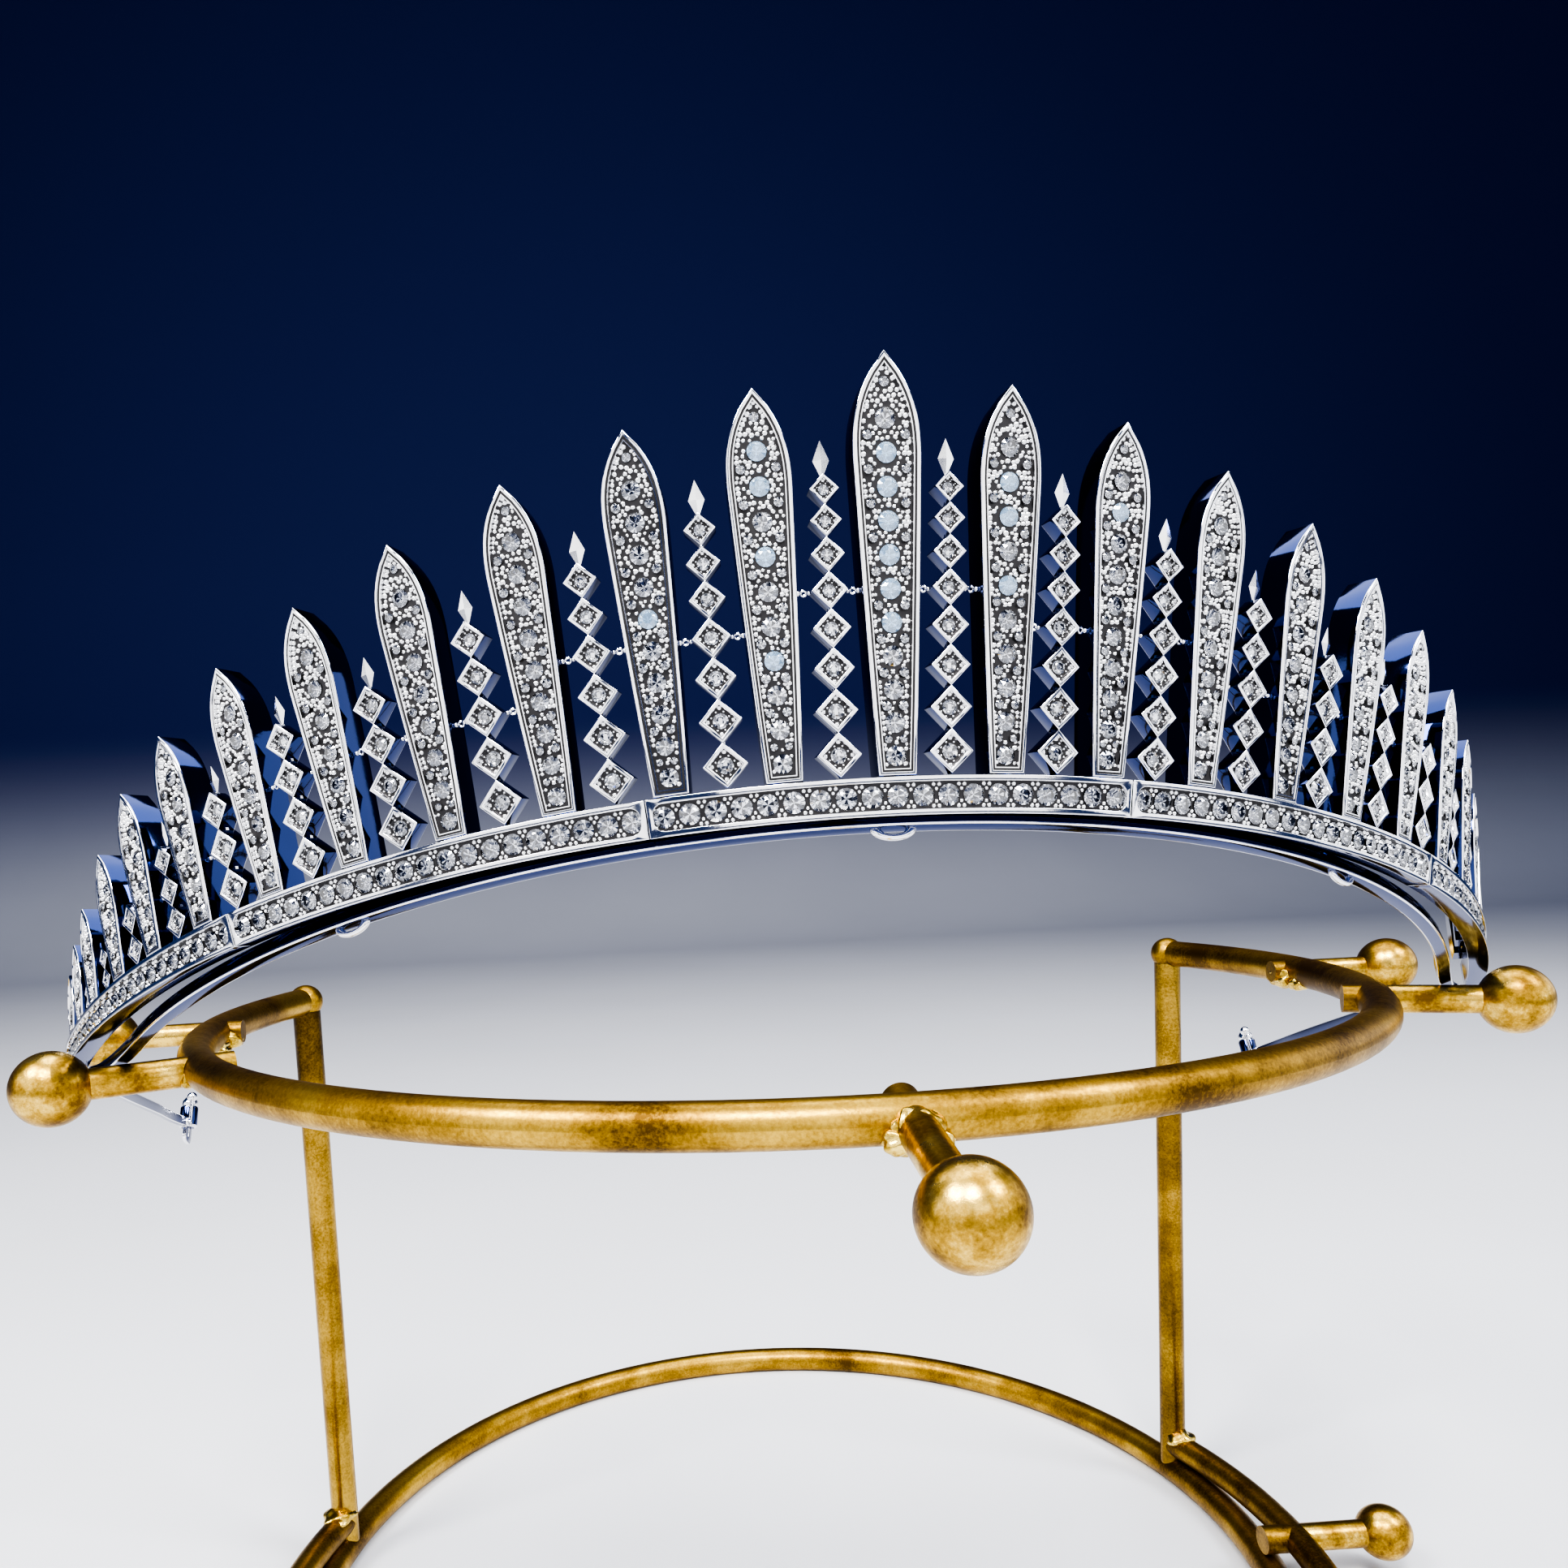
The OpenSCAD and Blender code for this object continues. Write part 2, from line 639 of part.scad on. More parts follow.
// Cut stones
module stone(d) {
    r = d / 2;
    girdle = [for (i = [0:7]) [r * cos(45 * i), r * sin(45 * i), 0]];
    table_r = TABLE_SHARE * r;
    table = [
        for (i = [0:7])
            [table_r * cos(45 * i + 22.5), table_r * sin(45 * i + 22.5), CROWN_SHARE * r]
    ];
    crown_low = [for (i = [0:7]) [8 + i, (i + 1) % 8, i]];
    crown_high = [for (i = [0:7]) [8 + (i + 1) % 8, (i + 1) % 8, 8 + i]];
    pavilion = [for (i = [0:7]) [16, i, (i + 1) % 8]];
    polyhedron(
        concat(girdle, table, [[0, 0, -PAVILION_SHARE * r]]),
        concat(crown_low, crown_high, pavilion, [[for (i = [7:-1:0]) 8 + i]])
    );
}

module blade_stones(k, side) {
    on_frame(side * blade_angle(k))
        for (i = [0:BLADE_TABLE[k][3] - 1])
            translate([0, field_depth, stone_height(k, i)])
                rotate([90, 0, 0])
                    rotate([0, 0, 22.5])
                        stone(stone_width(k, i));
}

module stone_field(side) {
    color("lightcyan")
        on_pegs()
            for (k = [1:BLADES])
                blade_stones(k, side);
}

base_ring();
lower_hoop();
upper_hoop();
leg(-1);  // left_leg
leg(1);  // right_leg
peg(0, hoop_h, side_peg_d, front_reach, front_droop);  // upper_front_peg
peg(-side_peg_angle, hoop_h, side_peg_d, side_reach, 0);  // upper_left_side_peg
peg(side_peg_angle, hoop_h, side_peg_d, side_reach, 0);  // upper_right_side_peg
peg(-rear_peg_angle, hoop_h, rear_peg_d, rear_reach, 0);  // upper_left_rear_peg
peg(rear_peg_angle, hoop_h, rear_peg_d, rear_reach, 0);  // upper_right_rear_peg
peg(0, low_h, low_peg_d, front_reach, 0);  // lower_front_peg
peg(-side_peg_angle, low_h, low_peg_d, side_reach, 0);  // lower_left_side_peg
peg(side_peg_angle, low_h, low_peg_d, side_reach, 0);  // lower_right_side_peg
peg(-rear_peg_angle, low_h, low_peg_d, rear_reach, 0);  // lower_left_rear_peg
peg(rear_peg_angle, low_h, low_peg_d, rear_reach, 0);  // lower_right_rear_peg
stone_band();
inner_rail();
tail(-1);  // left_tail
tail(1);  // right_tail
blade(0, 1);  // centre_blade
for (k = [1:BLADES]) {
    blade(k, -1);
    blade(k, 1);
}
strings(-1);  // left_strings
strings(1);  // right_strings
color("lightcyan") on_pegs() blade_stones(0, 1);  // centre_stones
stone_field(-1);  // left_stones
stone_field(1);  // right_stones
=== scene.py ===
import math
import random

import bmesh
import bpy
from mathutils import Matrix, Vector


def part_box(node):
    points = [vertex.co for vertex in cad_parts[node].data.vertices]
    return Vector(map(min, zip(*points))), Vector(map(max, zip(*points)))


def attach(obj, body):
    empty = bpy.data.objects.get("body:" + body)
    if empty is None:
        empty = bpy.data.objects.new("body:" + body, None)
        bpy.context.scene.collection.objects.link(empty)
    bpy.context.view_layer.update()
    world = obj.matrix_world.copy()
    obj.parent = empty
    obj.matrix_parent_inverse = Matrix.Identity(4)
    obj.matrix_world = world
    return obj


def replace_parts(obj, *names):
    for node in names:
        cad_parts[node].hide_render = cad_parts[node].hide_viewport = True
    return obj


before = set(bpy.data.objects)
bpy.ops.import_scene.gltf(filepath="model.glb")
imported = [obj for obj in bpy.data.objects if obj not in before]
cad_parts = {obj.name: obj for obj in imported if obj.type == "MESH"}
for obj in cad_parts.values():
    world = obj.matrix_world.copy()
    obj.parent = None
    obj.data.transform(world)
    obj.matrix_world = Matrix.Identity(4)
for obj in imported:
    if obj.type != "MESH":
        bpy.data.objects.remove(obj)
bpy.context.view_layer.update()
MM = 0.001


# Camera. It stands close in front of the diadem, a little to its left and just above the
# hoop, and looks slightly down and to the right. It leans by a few degrees.
CAMERA_PLACE = Vector((-23.52, -162.75, 116.51)) * MM
CAMERA_TURN = math.radians(5.2)
CAMERA_DOWN = math.radians(5.09)
CAMERA_LEAN = math.radians(-2.6)
SENSOR = 36.0
FOCAL_SHARE = 0.7614
SIDE_SHIFT = 0.0449
UP_SHIFT = 0.1021
CLIP_START = 5 * MM

ahead = Vector((
    math.sin(CAMERA_TURN) * math.cos(CAMERA_DOWN),
    math.cos(CAMERA_TURN) * math.cos(CAMERA_DOWN),
    -math.sin(CAMERA_DOWN),
))
level = Vector((math.cos(CAMERA_TURN), -math.sin(CAMERA_TURN), 0))
above = level.cross(ahead)
right = math.cos(CAMERA_LEAN) * level + math.sin(CAMERA_LEAN) * above
upright = -math.sin(CAMERA_LEAN) * level + math.cos(CAMERA_LEAN) * above

bpy.ops.object.camera_add()
camera = bpy.context.object
camera_turned = Matrix((right, upright, -ahead)).transposed().to_4x4()
camera.matrix_world = Matrix.Translation(CAMERA_PLACE) @ camera_turned
camera.data.sensor_width = SENSOR
camera.data.lens = SENSOR * FOCAL_SHARE
camera.data.shift_x = SIDE_SHIFT
camera.data.shift_y = UP_SHIFT
camera.data.clip_start = CLIP_START
bpy.context.scene.camera = camera


# Studio. A plain pale sheet lies on the table and sweeps up behind, where it turns dark. Broad
# dim panels stand in front and at both sides for the polish to mirror, with soft boxes above.
FLOOR_SIZE = 3.2
FLOOR_BACK = 0.49 * FLOOR_SIZE
WALL_HEIGHT = 2.0
WALL_FADE = 0.3
WALL_COLOUR = (0.014, 0.026, 0.13, 1)
COVE = 0.5
COVE_STEPS = 24
PAPER_TONES = ((0.60, 0.61, 0.64, 1), (0.68, 0.69, 0.72, 1))
PAPER_ROUGHNESS = 0.85
MIX_SHARE, MIX_FIRST, MIX_SECOND, MIX_RESULT = 0, 6, 7, 2


def take(piece):
    """Selects one piece alone."""
    bpy.ops.object.select_all(action="DESELECT")
    bpy.context.view_layer.objects.active = piece
    piece.select_set(True)


def edit(piece, kind="FACE"):
    """Opens one piece in edit mode with nothing selected."""
    take(piece)
    bpy.ops.object.mode_set(mode="EDIT")
    bpy.ops.mesh.select_mode(type=kind)
    bpy.ops.mesh.select_all(action="DESELECT")


def pick(piece, test, kind="FACE"):
    """Selects the faces, by middle and normal, or edges, by middle and way, that pass a test."""
    shape = bmesh.from_edit_mesh(piece.data)
    shape.normal_update()
    if kind == "FACE":
        for face in shape.faces:
            face.select_set(test(face.calc_center_median(), face.normal))
    else:
        for edge in shape.edges:
            start, end = edge.verts[0].co, edge.verts[1].co
            edge.select_set(test((start + end) / 2, (end - start).normalized()))
    bmesh.update_edit_mesh(piece.data)


def close_edit():
    bpy.ops.object.mode_set(mode="OBJECT")


bpy.ops.object.select_all(action="DESELECT")
bpy.ops.mesh.primitive_plane_add(size=FLOOR_SIZE)
floor = bpy.context.object
floor.name = "pale_sheet"
edit(floor, "EDGE")
pick(floor, lambda middle, way: middle.y > FLOOR_BACK, "EDGE")
bpy.ops.mesh.extrude_region_move(TRANSFORM_OT_translate={"value": (0, 0, WALL_HEIGHT)})
pick(floor, lambda middle, way: middle.y > FLOOR_BACK and middle.z < 0.01, "EDGE")
bpy.ops.mesh.bevel(offset=COVE, segments=COVE_STEPS, affect="EDGES")
close_edit()
bpy.ops.object.shade_smooth()

paper = bpy.data.materials.new("pale_paper")
paper.use_nodes = True
surface = paper.node_tree.nodes["Principled BSDF"]
surface.inputs["Roughness"].default_value = PAPER_ROUGHNESS
tooth = paper.node_tree.nodes.new("ShaderNodeTexNoise")
tooth.inputs["Scale"].default_value = 6
tooth.inputs["Detail"].default_value = 4
shade = paper.node_tree.nodes.new("ShaderNodeValToRGB")
for stop, paper_tone in zip(shade.color_ramp.elements, PAPER_TONES):
    stop.color = paper_tone
place = paper.node_tree.nodes.new("ShaderNodeTexCoord")
height = paper.node_tree.nodes.new("ShaderNodeSeparateXYZ")
fade = paper.node_tree.nodes.new("ShaderNodeMapRange")
fade.inputs["From Max"].default_value = WALL_FADE
fade.interpolation_type = "SMOOTHSTEP"
wall = paper.node_tree.nodes.new("ShaderNodeMix")
wall.data_type = "RGBA"
wall.inputs[MIX_SECOND].default_value = WALL_COLOUR
join_paper = paper.node_tree.links.new
join_paper(place.outputs["Object"], tooth.inputs["Vector"])
join_paper(place.outputs["Object"], height.inputs["Vector"])
join_paper(height.outputs["Z"], fade.inputs["Value"])
join_paper(tooth.outputs["Fac"], shade.inputs["Fac"])
join_paper(fade.outputs["Result"], wall.inputs[MIX_SHARE])
join_paper(shade.outputs["Color"], wall.inputs[MIX_FIRST])
join_paper(wall.outputs[MIX_RESULT], surface.inputs["Base Color"])
floor.data.materials.append(paper)

ROOM_LIGHT = 0.22
ROOM_COLOUR = (0.10, 0.19, 0.55, 1)
room = bpy.data.worlds.new("studio")
room.use_nodes = True
room_air = room.node_tree.nodes["Background"]
room_air.inputs["Color"].default_value = ROOM_COLOUR
room_air.inputs["Strength"].default_value = ROOM_LIGHT
bpy.context.scene.world = room
bpy.context.scene.view_settings.view_transform = "AgX"
bpy.context.scene.view_settings.look = "AgX - High Contrast"

DIADEM_MIDDLE = Vector((0, -40, 120)) * MM
SOFT_BOXES = {
    "front_panel": ((0.16, -0.78, 0.36), (0.66, 0.50), 2.0, (1.0, 0.99, 0.97)),
    "front_left_panel": ((-0.46, -0.68, 0.34), (0.46, 0.44), 1.2, (1.0, 0.99, 0.97)),
    "front_right_panel": ((0.66, -0.50, 0.34), (0.40, 0.44), 1.1, (0.98, 0.99, 1.0)),
    "left_panel": ((-0.82, -0.28, 0.33), (0.54, 0.44), 1.4, (1.0, 0.99, 0.97)),
    "right_panel": ((0.84, 0.04, 0.33), (0.62, 0.44), 1.5, (0.97, 0.98, 1.0)),
    "front": ((-0.12, -0.50, 0.80), (0.24, 0.18), 7.0, (1.0, 0.98, 0.95)),
    "key": ((-0.48, -0.30, 0.75), (0.26, 0.26), 7.0, (1.0, 0.98, 0.95)),
    "fill": ((0.50, -0.30, 0.72), (0.24, 0.30), 5.0, (0.95, 0.97, 1.0)),
    "overhead": ((0.05, 0.12, 0.85), (0.80, 0.45), 4.5, (1.0, 1.0, 1.0)),
}


def soft_box(name, place, size, power, tint):
    """One lamp, by its place and size in metres and its power, turned to the diadem."""
    bpy.ops.object.light_add(type="AREA", location=place)
    box = bpy.context.object
    box.name = name
    box.rotation_euler = (DIADEM_MIDDLE - Vector(place)).to_track_quat("-Z", "Y").to_euler()
    box.data.shape = "RECTANGLE"
    box.data.size, box.data.size_y = size
    box.data.energy = power
    box.data.color = tint


for name, (place, size, power, tint) in SOFT_BOXES.items():
    soft_box(name, place, size, power, tint)


# Stand. Brass wire bent into hoops and soldered, with a turned knob on each peg. Its antique
# gold finish is worn: darker brown on the hoops, rubbed bright and blotched on the knobs. The
# legs' gold is darker still, as painted shade for the dark surroundings they mirror.
HOOP_R = 76 * MM
RING_BACK = 10 * MM
LEG_ANGLE = 110
SIDE_PEG_ANGLE = 64.5
REAR_PEG_ANGLE = 87
KNOB_D = 8 * MM
HOOP_MIDDLE_Y = (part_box("base_ring")[0].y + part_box("base_ring")[1].y) / 2 - RING_BACK
UPPER_HOOP_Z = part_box("upper_left_side_peg")[0].z + KNOB_D / 2
LOWER_HOOP_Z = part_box("lower_left_side_peg")[0].z + KNOB_D / 2
GOLD_GRAIN_SCALE = 2600.0
GOLD_GRAIN_SHARE = 0.35
GOLD_DENT_SCALE = 420.0
GOLD_DENT_DEPTH = 0.05 * MM


def metal(name):
    """A new metal, its shader, and functions that add and join its nodes."""
    material = bpy.data.materials.new(name)
    material.use_nodes = True
    tree = material.node_tree
    shader = tree.nodes["Principled BSDF"]
    shader.inputs["Metallic"].default_value = 1.0

    def add(kind, settings=None, **joins):
        node = tree.nodes.new(kind)
        for key, value in (settings or {}).items():
            if key in node.inputs:
                node.inputs[key].default_value = value
            else:
                setattr(node, key, value)
        for key, source in joins.items():
            tree.links.new(source, node.inputs[key])
        return node

    def join(source, target):
        tree.links.new(source, target)

    return material, shader, add, join


def ramp(node, stops):
    """Sets a colour ramp's stops, as place and colour."""
    while len(node.color_ramp.elements) < len(stops):
        node.color_ramp.elements.new(0.5)
    for element, (place, colour) in zip(node.color_ramp.elements, stops):
        element.position = place
        element.color = (*colour, 1)


def antique_gold(name, dark, middle, bright, wear, roughness, blotch, dent):
    """Worn gold: blotches of a size in three tones, smoother where bright, grained and dented."""
    material, shader, add, join = metal(name)
    where = add("ShaderNodeTexCoord")
    patches = add("ShaderNodeTexNoise", {"Scale": 1 / blotch, "Detail": 6.0, "Roughness": 0.62},
                  Vector=where.outputs["Object"])
    grain = add("ShaderNodeTexNoise",
                {"Scale": GOLD_GRAIN_SCALE, "Detail": 3.0, "Roughness": 0.7},
                Vector=where.outputs["Object"])
    both = add("ShaderNodeMath", {"operation": "MULTIPLY_ADD"})
    join(grain.outputs["Fac"], both.inputs[0])
    both.inputs[1].default_value = GOLD_GRAIN_SHARE
    join(patches.outputs["Fac"], both.inputs[2])
    tone = add("ShaderNodeValToRGB", Fac=both.outputs["Value"])
    ramp(tone, [(wear - 0.17, dark), (wear, middle), (wear + 0.16, bright)])
    join(tone.outputs["Color"], shader.inputs["Base Color"])
    rough = add("ShaderNodeMapRange", {"From Min": wear - 0.2, "From Max": wear + 0.2,
                                       "To Min": roughness + 0.16, "To Max": roughness},
                Value=both.outputs["Value"])
    join(rough.outputs["Result"], shader.inputs["Roughness"])
    dents = add("ShaderNodeTexNoise", {"Scale": GOLD_DENT_SCALE, "Detail": 2.0},
                Vector=where.outputs["Object"])
    relief = add("ShaderNodeMath", {"operation": "MULTIPLY_ADD"})
    join(dents.outputs["Fac"], relief.inputs[0])
    relief.inputs[1].default_value = dent
    join(grain.outputs["Fac"], relief.inputs[2])
    bump = add("ShaderNodeBump", {"Strength": 0.32, "Distance": GOLD_DENT_DEPTH},
               Height=relief.outputs["Value"])
    join(bump.outputs["Normal"], shader.inputs["Normal"])
    return material


hoop_gold = antique_gold(
    "hoop_gold", (0.09, 0.046, 0.008), (0.33, 0.190, 0.026), (0.60, 0.385, 0.065),
    wear=0.70, roughness=0.30, blotch=14 * MM, dent=1.0)
# The legs' darker tones are painted shade, standing in for the dark surroundings they mirror.
shaded_leg_gold = antique_gold(
    "shaded_leg_gold", (0.07, 0.038, 0.007), (0.23, 0.132, 0.020), (0.50, 0.32, 0.060),
    wear=0.69, roughness=0.17, blotch=22 * MM, dent=0.6)
knob_gold = antique_gold(
    "knob_gold", (0.16, 0.082, 0.012), (0.45, 0.268, 0.038), (0.84, 0.58, 0.14),
    wear=0.70, roughness=0.24, blotch=4.0 * MM, dent=3.0)


def dress(node, material):
    """Gives a node of the frame its finish."""
    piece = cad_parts[node]
    piece.data.materials.clear()
    piece.data.materials.append(material)


for node in ("base_ring", "lower_hoop", "upper_hoop"):
    dress(node, hoop_gold)
for node in ("left_leg", "right_leg"):
    dress(node, shaded_leg_gold)
for hoop in ("upper", "lower"):
    for peg in ("front_peg", "left_side_peg", "right_side_peg", "left_rear_peg", "right_rear_peg"):
        dress(f"{hoop}_{peg}", knob_gold)


# Solder. Where a peg or a leg meets a hoop, a small lumpy fillet of brass was left, brighter
# than the wire. The front peg has the largest one, and two drops hang under the hoop.
def finish(piece, name, material, smooth=40):
    """Names a finished mesh, brings its place into its points, and fixes it to the object."""
    piece.name = name
    piece.data.name = name
    piece.data.transform(piece.matrix_world)
    piece.matrix_world = Matrix.Identity(4)
    if material:
        piece.data.materials.clear()
        piece.data.materials.append(material)
    take(piece)
    if smooth:
        bpy.ops.object.shade_smooth_by_angle(angle=math.radians(smooth))
    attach(piece, "root")
    return piece


def at_hoop(angle, z, out):
    """A place at a hoop, a little outside its middle: x along it, y inwards, z up."""
    turn = Matrix.Rotation(math.radians(angle), 4, "Z")
    middle = Matrix.Translation((0, HOOP_MIDDLE_Y, z))
    return middle @ turn @ Matrix.Translation((0, -HOOP_R - out, 0))


SOLDER_WAVES = 5
SOLDER_SWELL = 0.045
SOLDER_SEED = 4


def solder_drop(place, size, seed):
    """A lump of solder: a ball with an uneven skin."""
    bpy.ops.mesh.primitive_ico_sphere_add(subdivisions=4, radius=1)
    drop = bpy.context.object
    chance = random.Random(seed)
    ways = [(Vector([chance.uniform(-1, 1) for _ in range(3)]).normalized(), chance.uniform(2, 5))
            for _ in range(SOLDER_WAVES)]
    for point in drop.data.vertices:
        swell = sum(math.sin(pace * 2 * way.dot(point.co) + pace) for way, pace in ways)
        lump = Vector(a * b for a, b in zip(point.co, size)) * (1 + SOLDER_SWELL * swell)
        point.co = place @ lump
    return drop


# Each drop's angle round the hoop, the hoop, its way out and up in mm, and its size in mm.
SOLDER = [
    (-0.9, UPPER_HOOP_Z, 1.9, -1.3, (1.7, 1.3, 1.3)),
    (0.9, UPPER_HOOP_Z, 1.8, -1.5, (1.9, 1.4, 1.2)),
    (0.1, UPPER_HOOP_Z, 2.3, -0.2, (2.2, 1.1, 1.5)),
    (-SIDE_PEG_ANGLE, UPPER_HOOP_Z, 1.5, -0.4, (2.1, 1.3, 1.6)),
    (SIDE_PEG_ANGLE, UPPER_HOOP_Z, 1.5, -0.4, (2.1, 1.3, 1.6)),
    (-REAR_PEG_ANGLE, UPPER_HOOP_Z, -1.7, -0.9, (2.5, 1.6, 1.5)),
    (REAR_PEG_ANGLE, UPPER_HOOP_Z, -1.7, -0.9, (2.7, 1.7, 1.6)),
    (-84.5, UPPER_HOOP_Z, -1.2, -1.5, (1.8, 1.2, 1.0)),
    (84.2, UPPER_HOOP_Z, -1.2, -1.5, (1.9, 1.2, 1.0)),
    (0, LOWER_HOOP_Z, 1.7, -0.4, (2.3, 1.4, 1.6)),
    (-SIDE_PEG_ANGLE, LOWER_HOOP_Z, 1.7, -0.4, (2.3, 1.4, 1.6)),
    (SIDE_PEG_ANGLE, LOWER_HOOP_Z, 1.7, -0.4, (2.3, 1.4, 1.6)),
    (-REAR_PEG_ANGLE, LOWER_HOOP_Z, 1.7, -0.4, (2.3, 1.4, 1.6)),
    (REAR_PEG_ANGLE, LOWER_HOOP_Z, 1.7, -0.4, (2.3, 1.4, 1.6)),
    (-LEG_ANGLE + 1.2, LOWER_HOOP_Z, 0.0, 1.7, (2.6, 2.6, 1.3)),
    (LEG_ANGLE - 1.2, LOWER_HOOP_Z, 0.0, 1.7, (2.6, 2.6, 1.3)),
]
solder_gold = antique_gold(
    "solder_gold", (0.24, 0.14, 0.020), (0.55, 0.37, 0.06), (0.90, 0.68, 0.20),
    wear=0.64, roughness=0.20, blotch=1.6 * MM, dent=3.0)
for count, (angle, z, out, up, size) in enumerate(SOLDER):
    place = at_hoop(angle, z + up * MM, out * MM)
    drop = solder_drop(place, [s * MM for s in size], count + SOLDER_SEED)
    finish(drop, f"solder_{count + 1}", solder_gold, 80)


# Band. Five bars of white metal end to end, each with a raised polished rim round a sunk
# channel that is drilled for its stones. They are cast flat, drilled, and bent to the frame.
FRAME_R = 94 * MM
TILT = math.radians(28)
DIADEM_BACK = 7.5 * MM
DIADEM_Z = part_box("centre_blade")[0].z - FRAME_R * math.sin(TILT)
ARM_ANGLE = 60.5
END_ANGLE = 62.5
FRONT_LEAN = 27.5
END_LEAN = 8.5
BAND_H = 3.1 * MM
BAND_DEPTH = 1.8 * MM
BAND_PROUD = 0.2 * MM
BAND_RIM = 0.45 * MM
CHANNEL_DEPTH = 0.45 * MM
SEAM = 0.05 * MM
BAND_BREAKS = (-END_ANGLE, -37, -12.2, 12.2, 37, END_ANGLE)
BAND_STONE_D = 1.74 * MM
BAND_PITCH = 2.05 * MM
BAND_CUTS = 29
BAND_EDGE = 0.12 * MM
CHANNEL_CORNER = 0.85 * MM
SEAT_SHARE = 0.93
SEAT_SINK = 0.3 * MM
SEAT_LENGTH = 1.9 * MM
ON_HOOP = Matrix.Translation((0, HOOP_MIDDLE_Y + DIADEM_BACK, DIADEM_Z))
ON_PEGS = ON_HOOP @ Matrix.Rotation(-TILT, 4, "X")


def lean_at(angle):
    return math.radians(FRONT_LEAN - (FRONT_LEAN - END_LEAN) * (angle / ARM_ANGLE) ** 2)


def frame_place(angle):
    """A place on the curve of the blade feet: x along it, y inwards, z up the blades."""
    turn = Matrix.Rotation(math.radians(angle), 4, "Z")
    lean = Matrix.Rotation(lean_at(angle), 4, "X")
    return ON_PEGS @ turn @ Matrix.Translation((0, -FRAME_R, 0)) @ lean


def round_frame(point):
    """Takes a point of a straight bar, x along it, to the curved frame."""
    return frame_place(math.degrees(point.x / FRAME_R)) @ Vector((0, point.y, point.z))


def block(low, high):
    """A plain bar between two corners, ready to be cut and bevelled."""
    low, high = Vector(low), Vector(high)
    bpy.ops.mesh.primitive_cube_add(size=1)
    bar = bpy.context.object
    for point in bar.data.vertices:
        point.co = Vector((low[i] + (high[i] - low[i]) * (point.co[i] + 0.5) for i in range(3)))
    return bar


def cut_along(piece, cuts):
    """Cuts a bar into short lengths along x, so that it can be bent."""
    edit(piece, "EDGE")
    pick(piece, lambda middle, way: abs(way.x) > 0.99, "EDGE")
    bpy.ops.mesh.subdivide(number_cuts=cuts)
    close_edit()


def use(piece, kind, **settings):
    """Adds a modifier to a piece and applies it."""
    modifier = piece.modifiers.new("modifier", kind)
    for key, value in settings.items():
        setattr(modifier, key, value)
    take(piece)
    bpy.ops.object.modifier_apply(modifier=modifier.name)


def soften(piece, width, segments=2, angle=35):
    use(piece, "BEVEL", width=width, segments=segments, limit_method="ANGLE",
        angle_limit=math.radians(angle))


def set_copies(pattern, places, name):
    """Copies a small pattern piece to every place, all in one mesh."""
    points = [point.co.copy() for point in pattern.data.vertices]
    faces = [tuple(face.vertices) for face in pattern.data.polygons]
    mesh = bpy.data.meshes.new(name)
    mesh.from_pydata(
        [place @ point for place in places for point in points], [],
        [tuple(count * len(points) + corner for corner in face)
         for count in range(len(places)) for face in faces],
    )
    parts = [face.material_index for face in pattern.data.polygons]
    mesh.polygons.foreach_set("material_index", parts * len(places))
    piece = bpy.data.objects.new(name, mesh)
    bpy.context.scene.collection.objects.link(piece)
    return piece


def drill(piece, drills):
    """Cuts a row of round seats, each a place and a width, into a piece's face."""
    bpy.ops.mesh.primitive_cylinder_add(vertices=16, radius=0.5, depth=1)
    drill_bit = bpy.context.object
    places = [place @ Matrix.Diagonal((width, width, SEAT_LENGTH, 1)) for place, width in drills]
    cutter = set_copies(drill_bit, places, "cutter")
    use(piece, "BOOLEAN", object=cutter, operation="DIFFERENCE", solver="EXACT")
    bpy.data.objects.remove(cutter)
    bpy.data.objects.remove(drill_bit)


FACE_ON = Matrix.Rotation(math.radians(90), 4, "X")


def seat(x, y, z):
    """A place on a piece's front whose z axis points out of the face."""
    return Matrix.Translation((x, y, z)) @ FACE_ON


HAZE_SCALE = 160.0
HAIRLINE_SCALE = 3500.0
HAIRLINE_DEPTH = 0.02 * MM


def polished_silver(name, colour, roughness, scratch):
    """White metal, hand polished: nearly a mirror, with a faint waviness and hairlines."""
    material, shader, add, join = metal(name)
    where = add("ShaderNodeTexCoord")
    haze = add("ShaderNodeTexNoise", {"Scale": HAZE_SCALE, "Detail": 4.0},
               Vector=where.outputs["Object"])
    fine = add("ShaderNodeTexNoise", {"Scale": HAIRLINE_SCALE, "Detail": 2.0},
               Vector=where.outputs["Object"])
    tone = add("ShaderNodeValToRGB", Fac=haze.outputs["Fac"])
    ramp(tone, [(0.3, [c * 0.9 for c in colour]), (0.7, colour)])
    join(tone.outputs["Color"], shader.inputs["Base Color"])
    rough = add("ShaderNodeMapRange", {"From Min": 0.3, "From Max": 0.7,
                                       "To Min": roughness * 0.6, "To Max": roughness * 1.5},
                Value=haze.outputs["Fac"])
    join(rough.outputs["Result"], shader.inputs["Roughness"])
    bump = add("ShaderNodeBump", {"Strength": scratch, "Distance": HAIRLINE_DEPTH},
               Height=fine.outputs["Fac"])
    join(bump.outputs["Normal"], shader.inputs["Normal"])
    return material


silver = polished_silver("polished_white_metal", (0.93, 0.93, 0.94), 0.085, 0.10)
grain_silver = polished_silver("setting_grains", (0.96, 0.96, 0.96), 0.16, 0.05)
# The sunk field's near-black is painted shade for the recesses.
sunk_painted_shade = polished_silver("sunk_field_painted_shade", (0.06, 0.058, 0.06), 0.40, 0.5)
# The flanks' dark navy is a painted reflection of a dark blue surround, not the metal's own
# colour.
flank_reflection_metal = polished_silver("flank_painted_reflection", (0.032, 0.048, 0.14), 0.07, 0.08)
METALS = (silver, sunk_painted_shade, flank_reflection_metal)


